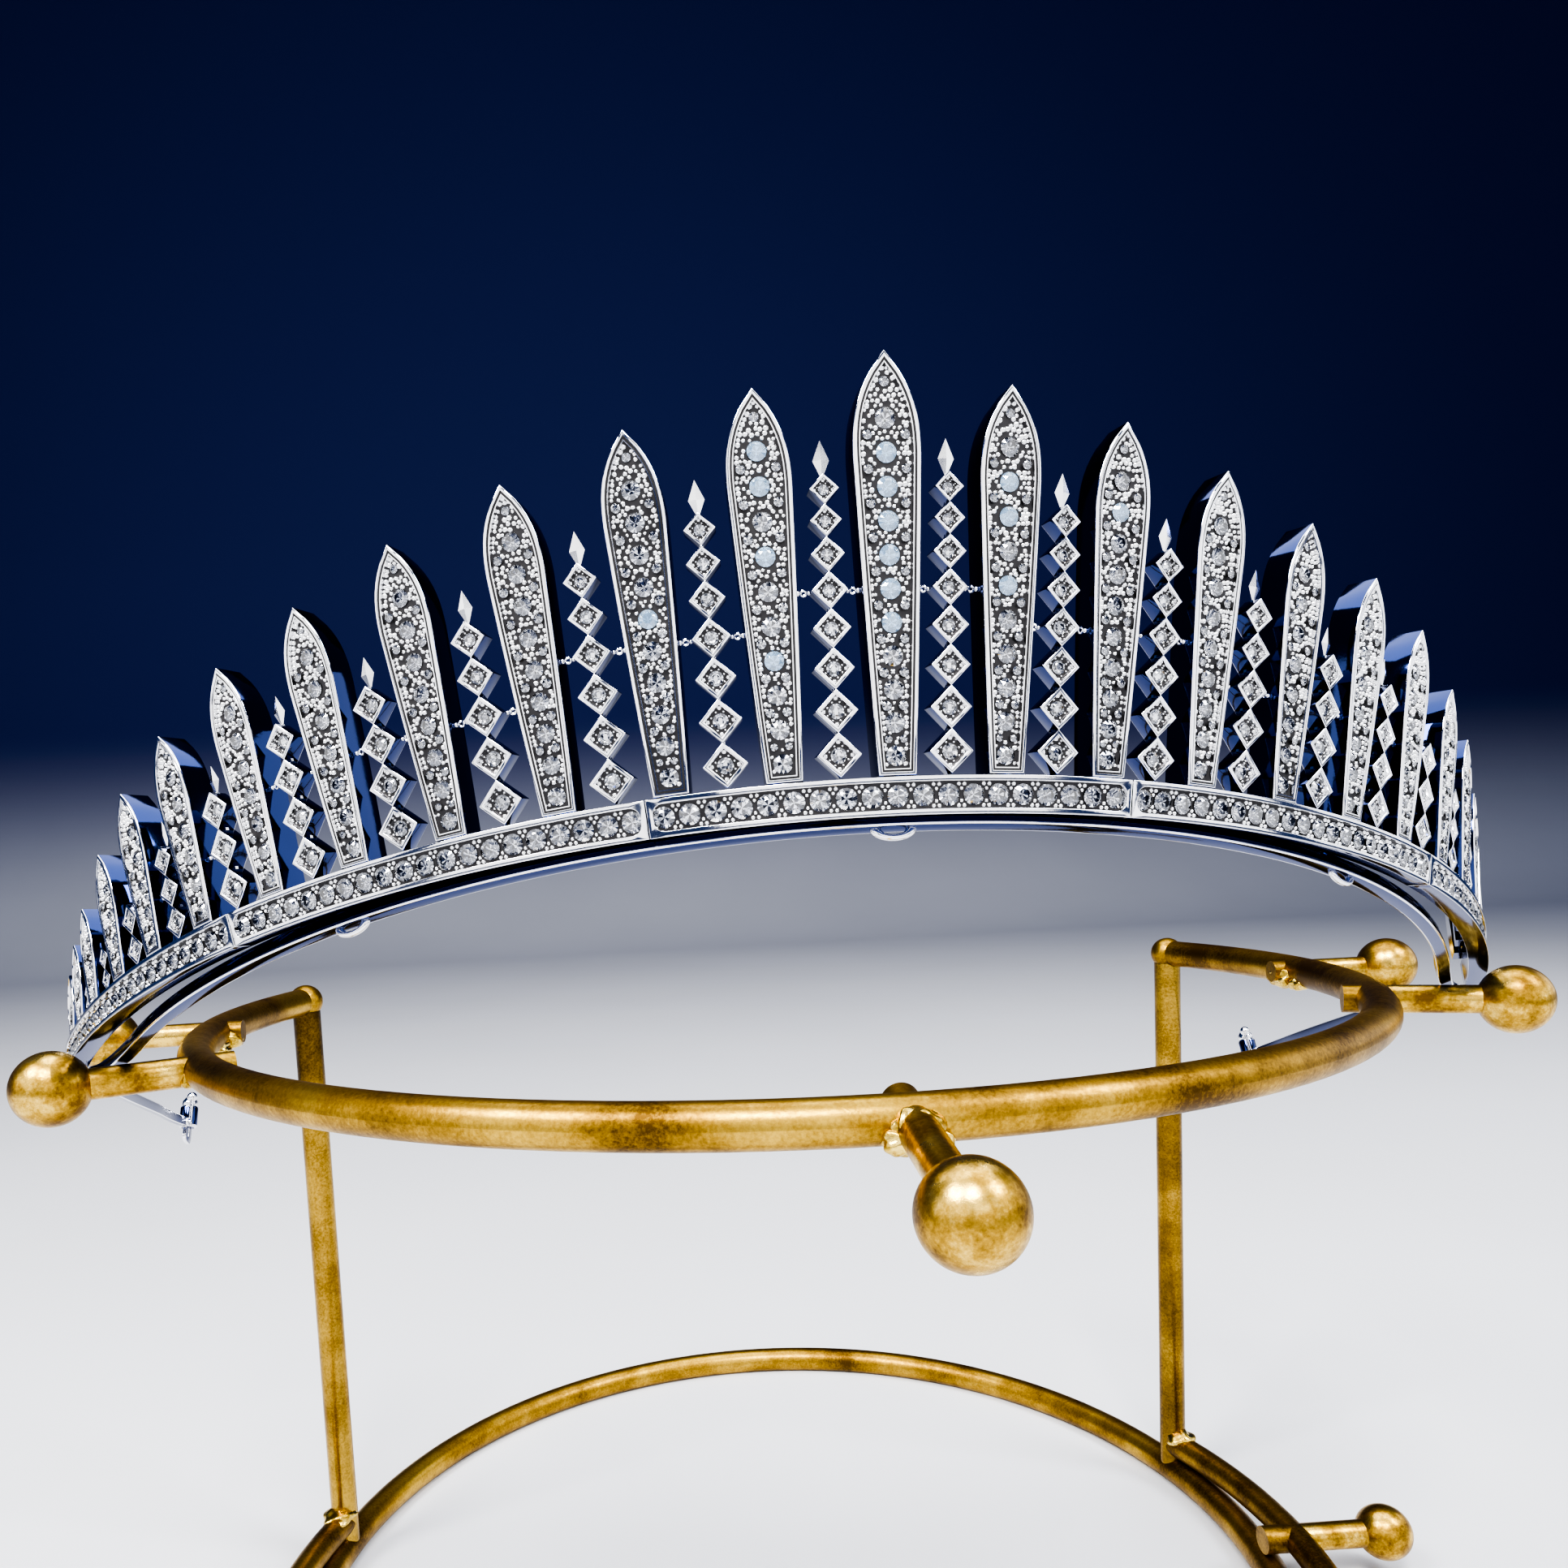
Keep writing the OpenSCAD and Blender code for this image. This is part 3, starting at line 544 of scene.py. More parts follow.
def shade_parts(piece, sunk, flank):
    """Gives the sunk field a near-black metal as painted shade, and the flat flanks a dark navy
    metal as a painted reflection.
    """
    piece.data.materials.clear()
    for finish_here in METALS:
        piece.data.materials.append(finish_here)
    for face in piece.data.polygons:
        face.material_index = 1 if sunk(face) else 2 if flank(face) else 0


# The grains of a gap between two stones and at a bar's end: across, up, and radius.
GAP_GRAINS = (
    (-0.24 * MM, 0.84 * MM, 0.19 * MM), (0.24 * MM, 0.84 * MM, 0.19 * MM),
    (0, 0.48 * MM, 0.17 * MM),
)
END_GRAIN = (0.68 * MM, 0.72 * MM, 0.14 * MM)


def band_bar(start, end):
    """One bar of the band, with the places of its stones and grains, still straight."""
    x0 = math.radians(start) * FRAME_R + SEAM
    x1 = math.radians(end) * FRAME_R - SEAM
    bar = block((x0, -BAND_PROUD, -BAND_H), (x1, BAND_DEPTH, -SEAM))
    cut_along(bar, BAND_CUTS)
    edit(bar)
    pick(bar, lambda middle, normal: normal.y < -0.9)
    bpy.ops.mesh.inset(thickness=BAND_RIM, depth=0)
    bpy.ops.mesh.extrude_region_move(TRANSFORM_OT_translate={"value": (0, CHANNEL_DEPTH, 0)})
    bpy.ops.mesh.select_mode(type="EDGE")
    pick(bar, lambda middle, way: abs(way.y) > 0.99 and middle.y < CHANNEL_DEPTH - BAND_PROUD
         and min(middle.x - x0, x1 - middle.x) < 1.2 * BAND_RIM and middle.z < -0.3 * MM
         and middle.z > 0.3 * MM - BAND_H and middle.y > -BAND_PROUD + 0.1 * MM, "EDGE")
    bpy.ops.mesh.bevel(offset=CHANNEL_CORNER, segments=6, affect="EDGES")
    close_edit()
    soften(bar, BAND_EDGE, 3, 50)
    count = round((x1 - x0 - BAND_RIM) / BAND_PITCH)
    pitch = (x1 - x0 - BAND_RIM) / count
    middles = [x0 + BAND_RIM / 2 + pitch * (i + 0.5) for i in range(count)]
    deep = CHANNEL_DEPTH - BAND_PROUD
    mid_z = -(BAND_H + SEAM) / 2
    drill(bar, [(seat(x, deep + SEAT_SINK, mid_z), BAND_STONE_D * SEAT_SHARE) for x in middles])
    # The channel floor gets the painted shade; the back and the top and bottom faces get the
    # painted navy reflection.
    shade_parts(bar, lambda face: abs(face.center.y - deep) < 0.04 * MM
                and 0.9 * BAND_RIM - BAND_H < face.center.z < -0.9 * BAND_RIM,
                lambda face: face.normal.y > 0.9 or abs(face.normal.z) > 0.9
                and abs(face.center.y - BAND_DEPTH / 2) < 0.3 * MM
                and not 0.9 * BAND_RIM - BAND_H < face.center.z < -0.9 * BAND_RIM)
    for point in bar.data.vertices:
        point.co = round_frame(point.co)
    stones = [(x, deep - 0.06 * MM, mid_z, BAND_STONE_D) for x in middles]
    grains = []
    for x in [m - pitch / 2 for m in middles[1:]]:
        for side in (-1, 1):
            for across, up, radius in GAP_GRAINS:
                grains.append((x + across, deep, mid_z + side * up, radius))
    for x, side_x in ((middles[0], -1), (middles[-1], 1)):
        for side in (-1, 1):
            across, up, radius = END_GRAIN
            grains.append((x + side_x * across, deep, mid_z + side * up, radius))
    return bar, stones, grains


def join_pieces(pieces):
    bpy.ops.object.select_all(action="DESELECT")
    for piece in pieces:
        piece.select_set(True)
    bpy.context.view_layer.objects.active = pieces[0]
    bpy.ops.object.join()
    return pieces[0]


bars, band_stones, band_grains = [], [], []
for start, end in zip(BAND_BREAKS, BAND_BREAKS[1:]):
    bar, stones, grains = band_bar(start, end)
    bars.append(bar)
    band_stones += stones
    band_grains += grains
band = finish(join_pieces(bars), "band_bars", None)
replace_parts(band, "stone_band")


# Stones. Round brilliants in one simple cut for the whole piece: a flat table, twenty-four
# crown facets and a pointed back, mirrored bright and painted dark by turns, a star of painted
# reflections. They are clear, and a few look pale blue. A stone's sizes are shares of its width.
TABLE = 0.54
CROWN = 0.34
PAVILION = 0.84
CULET = 0.04
STONE_INDEX = 2.2
GEM_TIP = math.radians(5)
CLOUD_SCALE = 900


def brilliant():
    """A brilliant of width 1 with its girdle at z = 0, hulled round its rings of corners."""
    bpy.ops.mesh.primitive_circle_add(vertices=8, radius=TABLE / 2)
    gem = bpy.context.object
    for point in gem.data.vertices:
        point.co.z = CROWN / 2
    bpy.ops.object.mode_set(mode="EDIT")
    bpy.ops.mesh.primitive_circle_add(vertices=16, radius=0.5)
    bpy.ops.mesh.primitive_circle_add(vertices=8, radius=CULET / 2, location=(0, 0, -PAVILION / 2))
    bpy.ops.mesh.select_all(action="SELECT")
    bpy.ops.mesh.convex_hull(join_triangles=False)
    bpy.ops.mesh.dissolve_limited(angle_limit=math.radians(1))
    close_edit()
    # Back facets take the bright foil and the dark one by turns: the dark sectors are painted
    # reflection.
    for face in gem.data.polygons:
        sector = int(math.degrees(math.atan2(face.normal.y, face.normal.x)) % 360 / 45)
        face.material_index = 1 + sector % 2 if face.normal.z < -0.1 else 0
    return gem


def clear_stone(name, tint, roughness, clearness):
    """Clear stone with a faint cloud in its tint."""
    material = bpy.data.materials.new(name)
    material.use_nodes = True
    tree = material.node_tree
    shader = tree.nodes["Principled BSDF"]
    shader.inputs["Roughness"].default_value = roughness
    shader.inputs["IOR"].default_value = STONE_INDEX
    shader.inputs["Transmission Weight"].default_value = clearness
    where = tree.nodes.new("ShaderNodeTexCoord")
    cloud = tree.nodes.new("ShaderNodeTexNoise")
    cloud.inputs["Scale"].default_value = CLOUD_SCALE
    tone = tree.nodes.new("ShaderNodeValToRGB")
    ramp(tone, [(0.35, [c * 0.94 for c in tint]), (0.6, tint)])
    tree.links.new(where.outputs["Object"], cloud.inputs["Vector"])
    tree.links.new(cloud.outputs["Fac"], tone.inputs["Fac"])
    tree.links.new(tone.outputs["Color"], shader.inputs["Base Color"])
    return material


clear = clear_stone("clear_brilliant", (0.98, 0.985, 1.0), 0.0, 1.0)
pale_blue = clear_stone("pale_blue_brilliant", (0.50, 0.74, 1.0), 0.03, 0.7)
foil = polished_silver("stone_foil", (0.95, 0.96, 0.98), 0.03, 0.0)
# The dark foil paints dark reflections into every other back sector of each stone.
dark_reflection_foil = polished_silver("painted_dark_reflection_foil", (0.19, 0.20, 0.23), 0.03, 0.0)
gem = brilliant()
chance = random.Random(11)


def set_stones(places, name, stone):
    """All the stones of one kind in one mesh, their backs foiled bright and, as painted
    reflection, dark by turns.
    """
    piece = set_copies(gem, places, name)
    for finish_here in (stone, foil, dark_reflection_foil):
        piece.data.materials.append(finish_here)
    return finish(piece, name, None, 0)


def gem_place(x, y, z, width):
    """Where one brilliant sits on a face, turned and tipped a little by chance."""
    turn = Matrix.Rotation(chance.uniform(0, 2 * math.pi), 4, "Z")
    tip = Matrix.Rotation(chance.uniform(-GEM_TIP, GEM_TIP), 4, "X")
    return seat(x, y, z) @ turn @ tip @ Matrix.Scale(width, 4)


def on_curve(x, place):
    """Brings a place given along the straight band on to the curved frame."""
    return frame_place(math.degrees(x / FRAME_R)) @ place


band_gems = [on_curve(x, gem_place(0, y, z, d)) for x, y, z, d in band_stones]
set_stones(band_gems, "band_brilliants", clear)


# Grains. The stones are held by beads of metal raised with a graver from the sunk field, three
# above and three below each gap in the band. Each is a small dome.
GRAIN_WALL = 0.62
GRAIN_SHOULDER = 0.8
GRAIN_RISE = 1.15


def face_out():
    """Turns the faces of the piece in edit mode outwards."""
    bpy.ops.mesh.select_all(action="SELECT")
    bpy.ops.mesh.normals_make_consistent(inside=False)


def grain_dome():
    """A dome of radius 1 on its flat foot: eight sides, two rings and a top."""
    bpy.ops.mesh.primitive_circle_add(vertices=8, radius=1, fill_type="NGON")
    dome = bpy.context.object
    edit(dome)
    bpy.ops.mesh.select_all(action="SELECT")
    bpy.ops.mesh.extrude_region_move(TRANSFORM_OT_translate={"value": (0, 0, GRAIN_WALL)})
    bpy.ops.transform.resize(value=(GRAIN_SHOULDER, GRAIN_SHOULDER, 1))
    bpy.ops.mesh.extrude_region_move(TRANSFORM_OT_translate={"value": (0, 0, 1 - GRAIN_WALL)})
    bpy.ops.mesh.merge(type="CENTER")
    face_out()
    close_edit()
    return dome


dome = grain_dome()


def grain_place(x, y, z, radius):
    return seat(x, y, z) @ Matrix.Diagonal((radius, radius, radius * GRAIN_RISE, 1))


band_beads = [on_curve(x, grain_place(0, y, z, r)) for x, y, z, r in band_grains]
finish(set_copies(dome, band_beads, "band_grains"), "band_grains", grain_silver, 80)


# Blades. Twenty-five upright blades of white metal, highest at the front: thick polished walls,
# a rounded rim with a fine inner line, and a sunk field. They were cast, polished and soldered.
BLADE_H = 32.3 * MM
BLADE_W = 5.35 * MM
FOOT_W = 3.05 * MM
BLADE_DEPTH = 2.8 * MM
RIM_W = 0.5 * MM
LINE_W = 0.16 * MM
FIELD_DEPTH = 0.45 * MM
ROUNDING = 0.13 * MM
GROOVE = 0.15 * MM
GROOVE_W = 0.12 * MM
STEEP = 0.03 * MM
STONE_D = 1.62 * MM
STONE_SINK = 0.07 * MM
TIP_STONE_D = 0.8 * MM
TIP_STONE_FALL = 0.42
ROW_FALL = 0.93
STONE_MARGIN = 0.12 * MM
TIP_CURVE = 2.6
SIDE_CURVE = 0.2
# Each blade's share of the arm's angle, of the height and of the width, and its stones.
BLADE_TABLE = [
    (0, 1, 1, 12), (0.09, 0.93, 0.94, 11), (0.18, 0.875, 0.92, 11), (0.272, 0.81, 0.9, 10),
    (0.367, 0.75, 0.88, 9), (0.461, 0.69, 0.86, 8), (0.555, 0.64, 0.84, 8), (0.65, 0.565, 0.82, 7),
    (0.735, 0.5, 0.8, 6), (0.813, 0.405, 0.76, 5), (0.891, 0.32, 0.72, 4), (0.95, 0.265, 0.7, 3),
    (1, 0.215, 0.68, 3),
]
TIP_STEPS = (0.2, 0.3, 0.4, 0.5, 0.6, 0.7, 0.8, 0.9)
TAPER_STEPS = (0, 0.2, 0.4, 0.6, 0.8, 1)


class Blade:
    """The sizes of one blade, by its number from the centre."""

    def __init__(self, number):
        share_angle, share_height, self.share, self.stones = BLADE_TABLE[number]
        self.angle = ARM_ANGLE * share_angle
        self.height = BLADE_H * share_height
        self.width = BLADE_W * self.share
        self.foot = FOOT_W * (0.4 + 0.6 * self.share)
        self.rim = RIM_W * self.share
        self.tip = min(1.45 * self.width, 0.6 * self.height)

    def half(self, z):
        """Half the blade's width at a height."""
        taper = self.height - self.tip
        if z < taper:
            share = z / taper
            swell = share * (1 + SIDE_CURVE - SIDE_CURVE * share)
            return (self.foot + (self.width - self.foot) * swell) / 2
        down = min(1, (self.height - z) / self.tip)
        return self.width / 2 * (1 - (1 - down) ** TIP_CURVE)

    def field_half(self, z):
        return self.half(z) - self.rim - LINE_W

    def outline(self):
        heights = [share * (self.height - self.tip) for share in TAPER_STEPS]
        heights += [self.height - share * self.tip for share in reversed(TIP_STEPS)]
        edge = [(self.half(z), z) for z in heights]
        return edge + [(0, self.height)] + [(-x, z) for x, z in reversed(edge)]

    def stone_row(self):
        """Height and width of each stone of the middle row, from the foot."""
        low = self.rim + LINE_W + STONE_D * self.share / 2 + STONE_MARGIN
        high = self.height - ROW_FALL * self.width
        row = []
        for count in range(self.stones - 1):
            z = low + (high - low) * count / max(1, self.stones - 2)
            fits = 2 * (self.field_half(z) - STONE_MARGIN)
            row.append((z, min(STONE_D * (0.3 + 0.7 * self.share), fits)))
        row.append((self.height - TIP_STONE_FALL * self.width, TIP_STONE_D * self.share))
        return row


def blade_blank(blade):
    """A blade with its rim, inner line and sunk field, standing on its foot, face to -y."""
    outline = blade.outline()
    bpy.ops.mesh.primitive_circle_add(vertices=len(outline), fill_type="NGON")
    blank = bpy.context.object
    for point, (x, z) in zip(blank.data.vertices, outline):
        point.co = (x, 0, z)
    edit(blank)
    bpy.ops.mesh.select_all(action="SELECT")
    bpy.ops.mesh.extrude_region_move(TRANSFORM_OT_translate={"value": (0, BLADE_DEPTH, 0)})
    face_out()
    bpy.ops.mesh.select_mode(type="EDGE")
    pick(blank, lambda middle, way: middle.y < 0.01 * MM, "EDGE")
    bpy.ops.mesh.bevel(offset=ROUNDING, segments=3, affect="EDGES")
    bpy.ops.mesh.select_mode(type="FACE")
    pick(blank, lambda middle, normal: normal.y < -0.99 and middle.y < 0.01 * MM)
    rest = blade.rim - ROUNDING
    steps = [
        (rest * 0.5, 0), (STEEP, -GROOVE), (GROOVE_W, 0), (STEEP, GROOVE * 0.7),
        (LINE_W * 0.5, 0), (STEEP, GROOVE * 0.3 - FIELD_DEPTH),
    ]
    for thickness, depth in steps:
        bpy.ops.mesh.inset(thickness=thickness, depth=depth, use_even_offset=True)
    close_edit()
    return blank


def make_blade(number, side):
    """One finished blade in its place on the frame."""
    blade = Blade(number)
    blank = blade_blank(blade)
    drill(blank, [(seat(0, FIELD_DEPTH + SEAT_SINK, z), width * SEAT_SHARE)
                  for z, width in blade.stone_row()])
    # The field floor and the groove between rim and inner line get the painted shade; the side
    # walls get the painted navy reflection.
    shade_parts(blank, lambda face: abs(face.center.y - FIELD_DEPTH) < 0.04 * MM
                or abs(face.center.y - GROOVE) < 0.005 * MM,
                lambda face: abs(face.center.y - (BLADE_DEPTH + ROUNDING) / 2) < 0.1 * MM)
    blank.data.transform(frame_place(side * blade.angle))
    name = "centre_blade" if number == 0 else f"{'left' if side < 0 else 'right'}_blade_{number}"
    finish(blank, f"{name}_metal", None, 32)
    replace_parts(blank, name)


make_blade(0, 1)
for number in range(1, len(BLADE_TABLE)):
    for side in (-1, 1):
        make_blade(number, side)


# Blade stones and grains. One row of brilliants runs up each blade, with a small one in the
# tip. The rest of the field is covered with grains of metal, like frost, and a few tiny stones.
GRAIN_PITCH = 0.47 * MM
GRAIN_ROW = GRAIN_PITCH * 0.84
GRAIN_RADII = (0.15, 0.25)
GRAIN_LAP = 0.72
NEIGHBOURS = 14
TINY_STONE_D = 0.74 * MM
TINY_STONE_LEAST = 0.42 * MM
TINY_STONE_SINK = 0.40
TINY_STONE_ROOM = 0.3 * MM
FIELD_EDGE = 0.12 * MM
# The pale blue stones, counted from the foot, by the blade's number and side.
PALE_BLUE = {
    (0, 0): (4, 5, 6, 7, 8, 9),
    (1, -1): (9, 8, 6, 3), (1, 1): (8, 7, 5),
    (2, -1): (5,), (2, 1): (8,),
}


def field_work(number, side):
    """The places of one blade's clear and pale blue brilliants, and of its grains."""
    blade = Blade(number)
    luck = random.Random(100 * number + side)
    on = frame_place(side * blade.angle)
    row = blade.stone_row()
    blue = PALE_BLUE.get((number, side if number else 0), ())
    stones, blues, grains = [], [], []
    for count, (z, width) in enumerate(row):
        gem_here = on @ gem_place(0, FIELD_DEPTH - STONE_SINK, z, width)
        (blues if count in blue else stones).append(gem_here)
    taken = [(0, z, width / 2) for z, width in row]
    for (z0, _), (z1, _) in zip(row[:-1], row[1:-1]):
        z = (z0 + z1) / 2
        spare = blade.field_half(z) - FIELD_EDGE
        small = min(TINY_STONE_D, spare - TINY_STONE_ROOM)
        if small > TINY_STONE_LEAST:
            for way in (-1, 1):
                x = way * (spare - small / 2)
                stones.append(on @ gem_place(x, FIELD_DEPTH - TINY_STONE_SINK * small, z, small))
                taken.append((x, z, small / 2))
    foot_line = blade.rim + LINE_W
    tip_line = blade.height - 1.5 * blade.rim
    rows = int(blade.height / GRAIN_ROW)
    for j in range(rows):
        z = (j + 0.5) * GRAIN_ROW
        spare = blade.field_half(z)
        columns = int(spare / GRAIN_PITCH) + 1
        for i in range(-columns, columns + 1):
            x = (i + 0.5 * (j % 2)) * GRAIN_PITCH + luck.uniform(-0.1, 0.1) * MM
            zz = z + luck.uniform(-0.09, 0.09) * MM
            radius = luck.uniform(*GRAIN_RADII) * MM
            x = max(radius * 0.9 - spare, min(spare - radius * 0.9, x))
            if spare < radius or zz < foot_line + radius or zz + radius > tip_line:
                continue
            if any(math.hypot(x - a, zz - b) < r + radius * 0.5 for a, b, r in taken):
                continue
            if any(math.hypot(x - a, zz - b) < GRAIN_LAP * (radius + r)
                   for a, b, r in grains[-NEIGHBOURS:]):
                continue
            grains.append((x, zz, radius))
    beads = [on @ grain_place(x, FIELD_DEPTH, zz, radius) for x, zz, radius in grains]
    return stones, blues, beads


def dress_side(name, numbers, side, node):
    """The stones and grains of all the blades of one side, or of the centre one."""
    stones, blues, grains = [], [], []
    for number in numbers:
        for whole, part in zip((stones, blues, grains), field_work(number, side)):
            whole += part
    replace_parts(set_stones(stones, f"{name}_brilliants", clear), node)
    if blues:
        set_stones(blues, f"{name}_pale_brilliants", pale_blue)
    finish(set_copies(dome, grains, name), f"{name}_grains", grain_silver, 80)


dress_side("centre", [0], 1, "centre_stones")
dress_side("left", range(1, len(BLADE_TABLE)), -1, "left_stones")
dress_side("right", range(1, len(BLADE_TABLE)), 1, "right_stones")


# Strings of lozenges. Between the blades stand strings of small square settings on their
# corners, soldered tip to tip, each with one stone held by grains, under a pointed kite.
LOZENGE_W = 3.6 * MM
LOZENGE_DEPTH = 1.8 * MM
LOZENGE_RIM = 0.32 * MM
LOZENGE_RECESS = 0.5 * MM
NECK_W = 0.3 * MM
LOZENGE_FALL = 0.05
LOZENGE_LAP = 0.06 * MM
STRING_BACK = 0.3 * MM
KITE_W = 1.5 * MM
KITE_H = 3 * MM
KITE_FALL = 0.01
KITE_RIDGE = 0.15
KITE_MIDDLE = 0.48
LOZENGE_SEAT_D = 1.2 * MM
LOZENGE_STONE_D = 1.3 * MM
CORNER_GRAIN = 0.19 * MM
SMALL_GRAIN = 0.1 * MM
LOZENGE_EDGE = 0.07 * MM
LINK_LEAST = 0.5 * MM
LINK_LAP = 0.12 * MM
LINK_L = 1.1 * MM
# Each string's count of lozenges, and its share of their full width.
STRING_TABLE = [
    (8, 1), (7, 1.01), (6, 1.02), (5, 1.04), (4, 1.06), (4, 1.05),
    (3, 1.08), (3, 0.9), (2, 0.9), (2, 0.66), (2, 0.4), (1, 0.36),
]


def lozenge_setting():
    """One setting of full width on its corner, its middle at z = 0 and its face at y = 0."""
    side = LOZENGE_W / math.sqrt(2)
    body = block((-side / 2, 0, -side / 2), (side / 2, LOZENGE_DEPTH, side / 2))
    edit(body)
    pick(body, lambda middle, normal: normal.y < -0.9)
    bpy.ops.mesh.inset(thickness=LOZENGE_RIM, depth=0)
    bpy.ops.mesh.inset(thickness=STEEP, depth=-LOZENGE_RECESS)
    close_edit()
    soften(body, LOZENGE_EDGE, 3, 40)
    drill(body, [(seat(0, LOZENGE_RECESS + SEAT_SINK, 0), LOZENGE_SEAT_D)])
    # The recess floor gets the painted shade; the flanks get the painted navy reflection.
    shade_parts(body, lambda face: abs(face.center.y - LOZENGE_RECESS) < 0.04 * MM,
                lambda face: abs(face.center.y - LOZENGE_DEPTH / 2) < 0.05 * MM)
    body.data.transform(Matrix.Rotation(math.radians(45), 4, "Y"))
    return body


def kite_point():
    """The kite on top of a string, one unit wide and high: four facets in front, ridged."""
    bpy.ops.mesh.primitive_uv_sphere_add(segments=4, ring_count=2, radius=1)
    kite = bpy.context.object
    for point in kite.data.vertices:
        if abs(point.co.z) < 0.5:
            point.co = (point.co.x / 2, point.co.y * KITE_RIDGE, KITE_MIDDLE)
        else:
            point.co = (0, 0, 1 if point.co.z > 0 else 0)
    return kite


def link():
    """A tiny wire ring, 1 mm long with its two beads, that ties a lozenge to a blade."""
    bpy.ops.mesh.primitive_torus_add(
        major_radius=0.2 * MM, minor_radius=0.1 * MM, major_segments=16, minor_segments=8,
        rotation=(math.radians(90), 0, 0))
    ring = bpy.context.object
    beads = []
    for x, radius in ((-0.4, 0.15), (0.4, 0.19)):
        bpy.ops.mesh.primitive_uv_sphere_add(
            segments=12, ring_count=8, radius=radius * MM, location=(x * MM, 0, 0))
        beads.append(bpy.context.object)
    ring = join_pieces([ring] + beads)
    ring.data.transform(ring.matrix_world)
    ring.matrix_world = Matrix.Identity(4)
    return ring


def string_sizes(number):
    """The width and height of each lozenge of a string, from the band up."""
    count, share = STRING_TABLE[number]
    widths = [LOZENGE_W * share * (1 - LOZENGE_FALL * i) for i in range(count)]
    heights = [widths[0] / 2]
    for lower, upper in zip(widths, widths[1:]):
        heights.append(heights[-1] + (lower + upper) / 2 - LOZENGE_LAP)
    return list(zip(widths, heights))


setting, kite, ring = lozenge_setting(), kite_point(), link()


def link_room(number, beside, z, width):
    """The room between a lozenge's corner and the side of a blade."""
    low, high = Blade(number).angle, Blade(number + 1).angle
    half = math.radians(high - low) / 2
    radius = FRAME_R + z * math.sin(lean_at((low + high) / 2))
    blade_side = Blade(beside).half(z) * math.cos(half) + BLADE_DEPTH * math.sin(half) / 2
    return radius * math.sin(half) - blade_side - width / 2


def lozenge_grains(on, z, share):
    """The places of one setting's grains: one in each corner, with a smaller one at each side."""
    places = []
    reach = (LOZENGE_W / 2 - LOZENGE_RIM * math.sqrt(2)) * share - 0.3 * MM * share
    for step_x, step_z in ((1, 0), (-1, 0), (0, 1), (0, -1)):
        places.append(on @ grain_place(
            step_x * reach, LOZENGE_RECESS, z + step_z * reach, CORNER_GRAIN * share))
        for turn in (-1, 1):
            places.append(on @ grain_place(
                step_x * reach * 0.70 + turn * step_z * reach * 0.3, LOZENGE_RECESS,
                z + step_z * reach * 0.70 + turn * step_x * reach * 0.3, SMALL_GRAIN * share))
    return places


def dress_strings(side, name):
    """All the strings of one side, with their brilliants and grains."""
    places, kites, rings, stones, grains, bars = [], [], [], [], [], []
    for number in range(len(STRING_TABLE)):
        angle = side * (Blade(number).angle + Blade(number + 1).angle) / 2
        on = frame_place(angle) @ Matrix.Translation((0, STRING_BACK, SEAM))
        sizes = string_sizes(number)
        for width, z in sizes:
            share = width / LOZENGE_W
            middle = on @ Matrix.Translation((0, 0, z))
            places.append(middle @ Matrix.Diagonal((share, 1, share, 1)))
            gem_width = LOZENGE_STONE_D * share
            stones.append(on @ gem_place(0, LOZENGE_RECESS - STONE_SINK, z, gem_width))
            grains += lozenge_grains(on, z, share)
        width, z = sizes[-1]
        back = (LOZENGE_DEPTH - NECK_W) / 2
        bar = block((-NECK_W / 2, back, sizes[0][1]), (NECK_W / 2, back + NECK_W, z + width / 2))
        bar.data.transform(on)
        bars.append(bar)
        shrink = 1 - KITE_FALL * number
        kites.append(on @ Matrix.Translation((0, LOZENGE_DEPTH / 2, z + width / 2 - NECK_W))
                     @ Matrix.Diagonal((KITE_W * shrink, KITE_W * shrink, KITE_H * shrink, 1)))
        width, z = sizes[STRING_TABLE[number][0] // 2]
        for way in (-1, 1):
            room_here = link_room(number, number + 1 if way == side else number, z, width)
            if room_here > LINK_LEAST:
                share = (room_here + LINK_LAP) / LINK_L
                x = way * (width + room_here) / 2
                rings.append(on @ Matrix.Translation((x, LOZENGE_DEPTH / 2, z))
                             @ Matrix.Diagonal((way * share, 1, 1, 1)))
    settings = set_copies(setting, places, name)
    for finish_here in METALS:
        settings.data.materials.append(finish_here)
    kite_row = set_copies(kite, kites, "kites")
    ring_row = set_copies(ring, rings, "rings")
    edit(ring_row)
    face_out()
    close_edit()
    for extra in [ring_row] + bars:
        extra.data.materials.append(silver)
    finish(kite_row, f"{name}_kites", grain_silver, 0)
    work = join_pieces([settings, ring_row] + bars)
    finish(work, f"{name}_lozenges", None, 32)
    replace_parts(work, f"{name}_strings")
    set_stones(stones, f"{name}_lozenge_brilliants", clear)
    beads = set_copies(dome, grains, name)
    finish(beads, f"{name}_lozenge_grains", grain_silver, 80)


dress_strings(-1, "left")
dress_strings(1, "right")
for pattern in (setting, kite, ring):
    bpy.data.objects.remove(pattern)


# Inner rail. A plain polished bar inside the band that stiffens it and closes on to it in a
# rounded bend at each end. It is drawn wire, bent and soldered, with three sewing loops below.
RAIL_W = 1.4 * MM
RAIL_H = 1.5 * MM
RAIL_GAP = 2 * MM
RAIL_FRONT_Z = -2.6 * MM
RAIL_FALL = 2.2 * MM
RAIL_CLOSE = 7
RAIL_CUTS = (99, 3)
RAIL_EDGE = 0.16 * MM
RAIL_FLAT = (0.5 * MM) ** 2
LOOP_R = 1 * MM
LOOP_WIRE = 0.62 * MM
LOOP_SPREAD = 1.45
LOOP_FALL = 0.8


def rail_z(angle):
    return RAIL_FRONT_Z - RAIL_FALL * (1 - math.cos(math.radians(angle)))


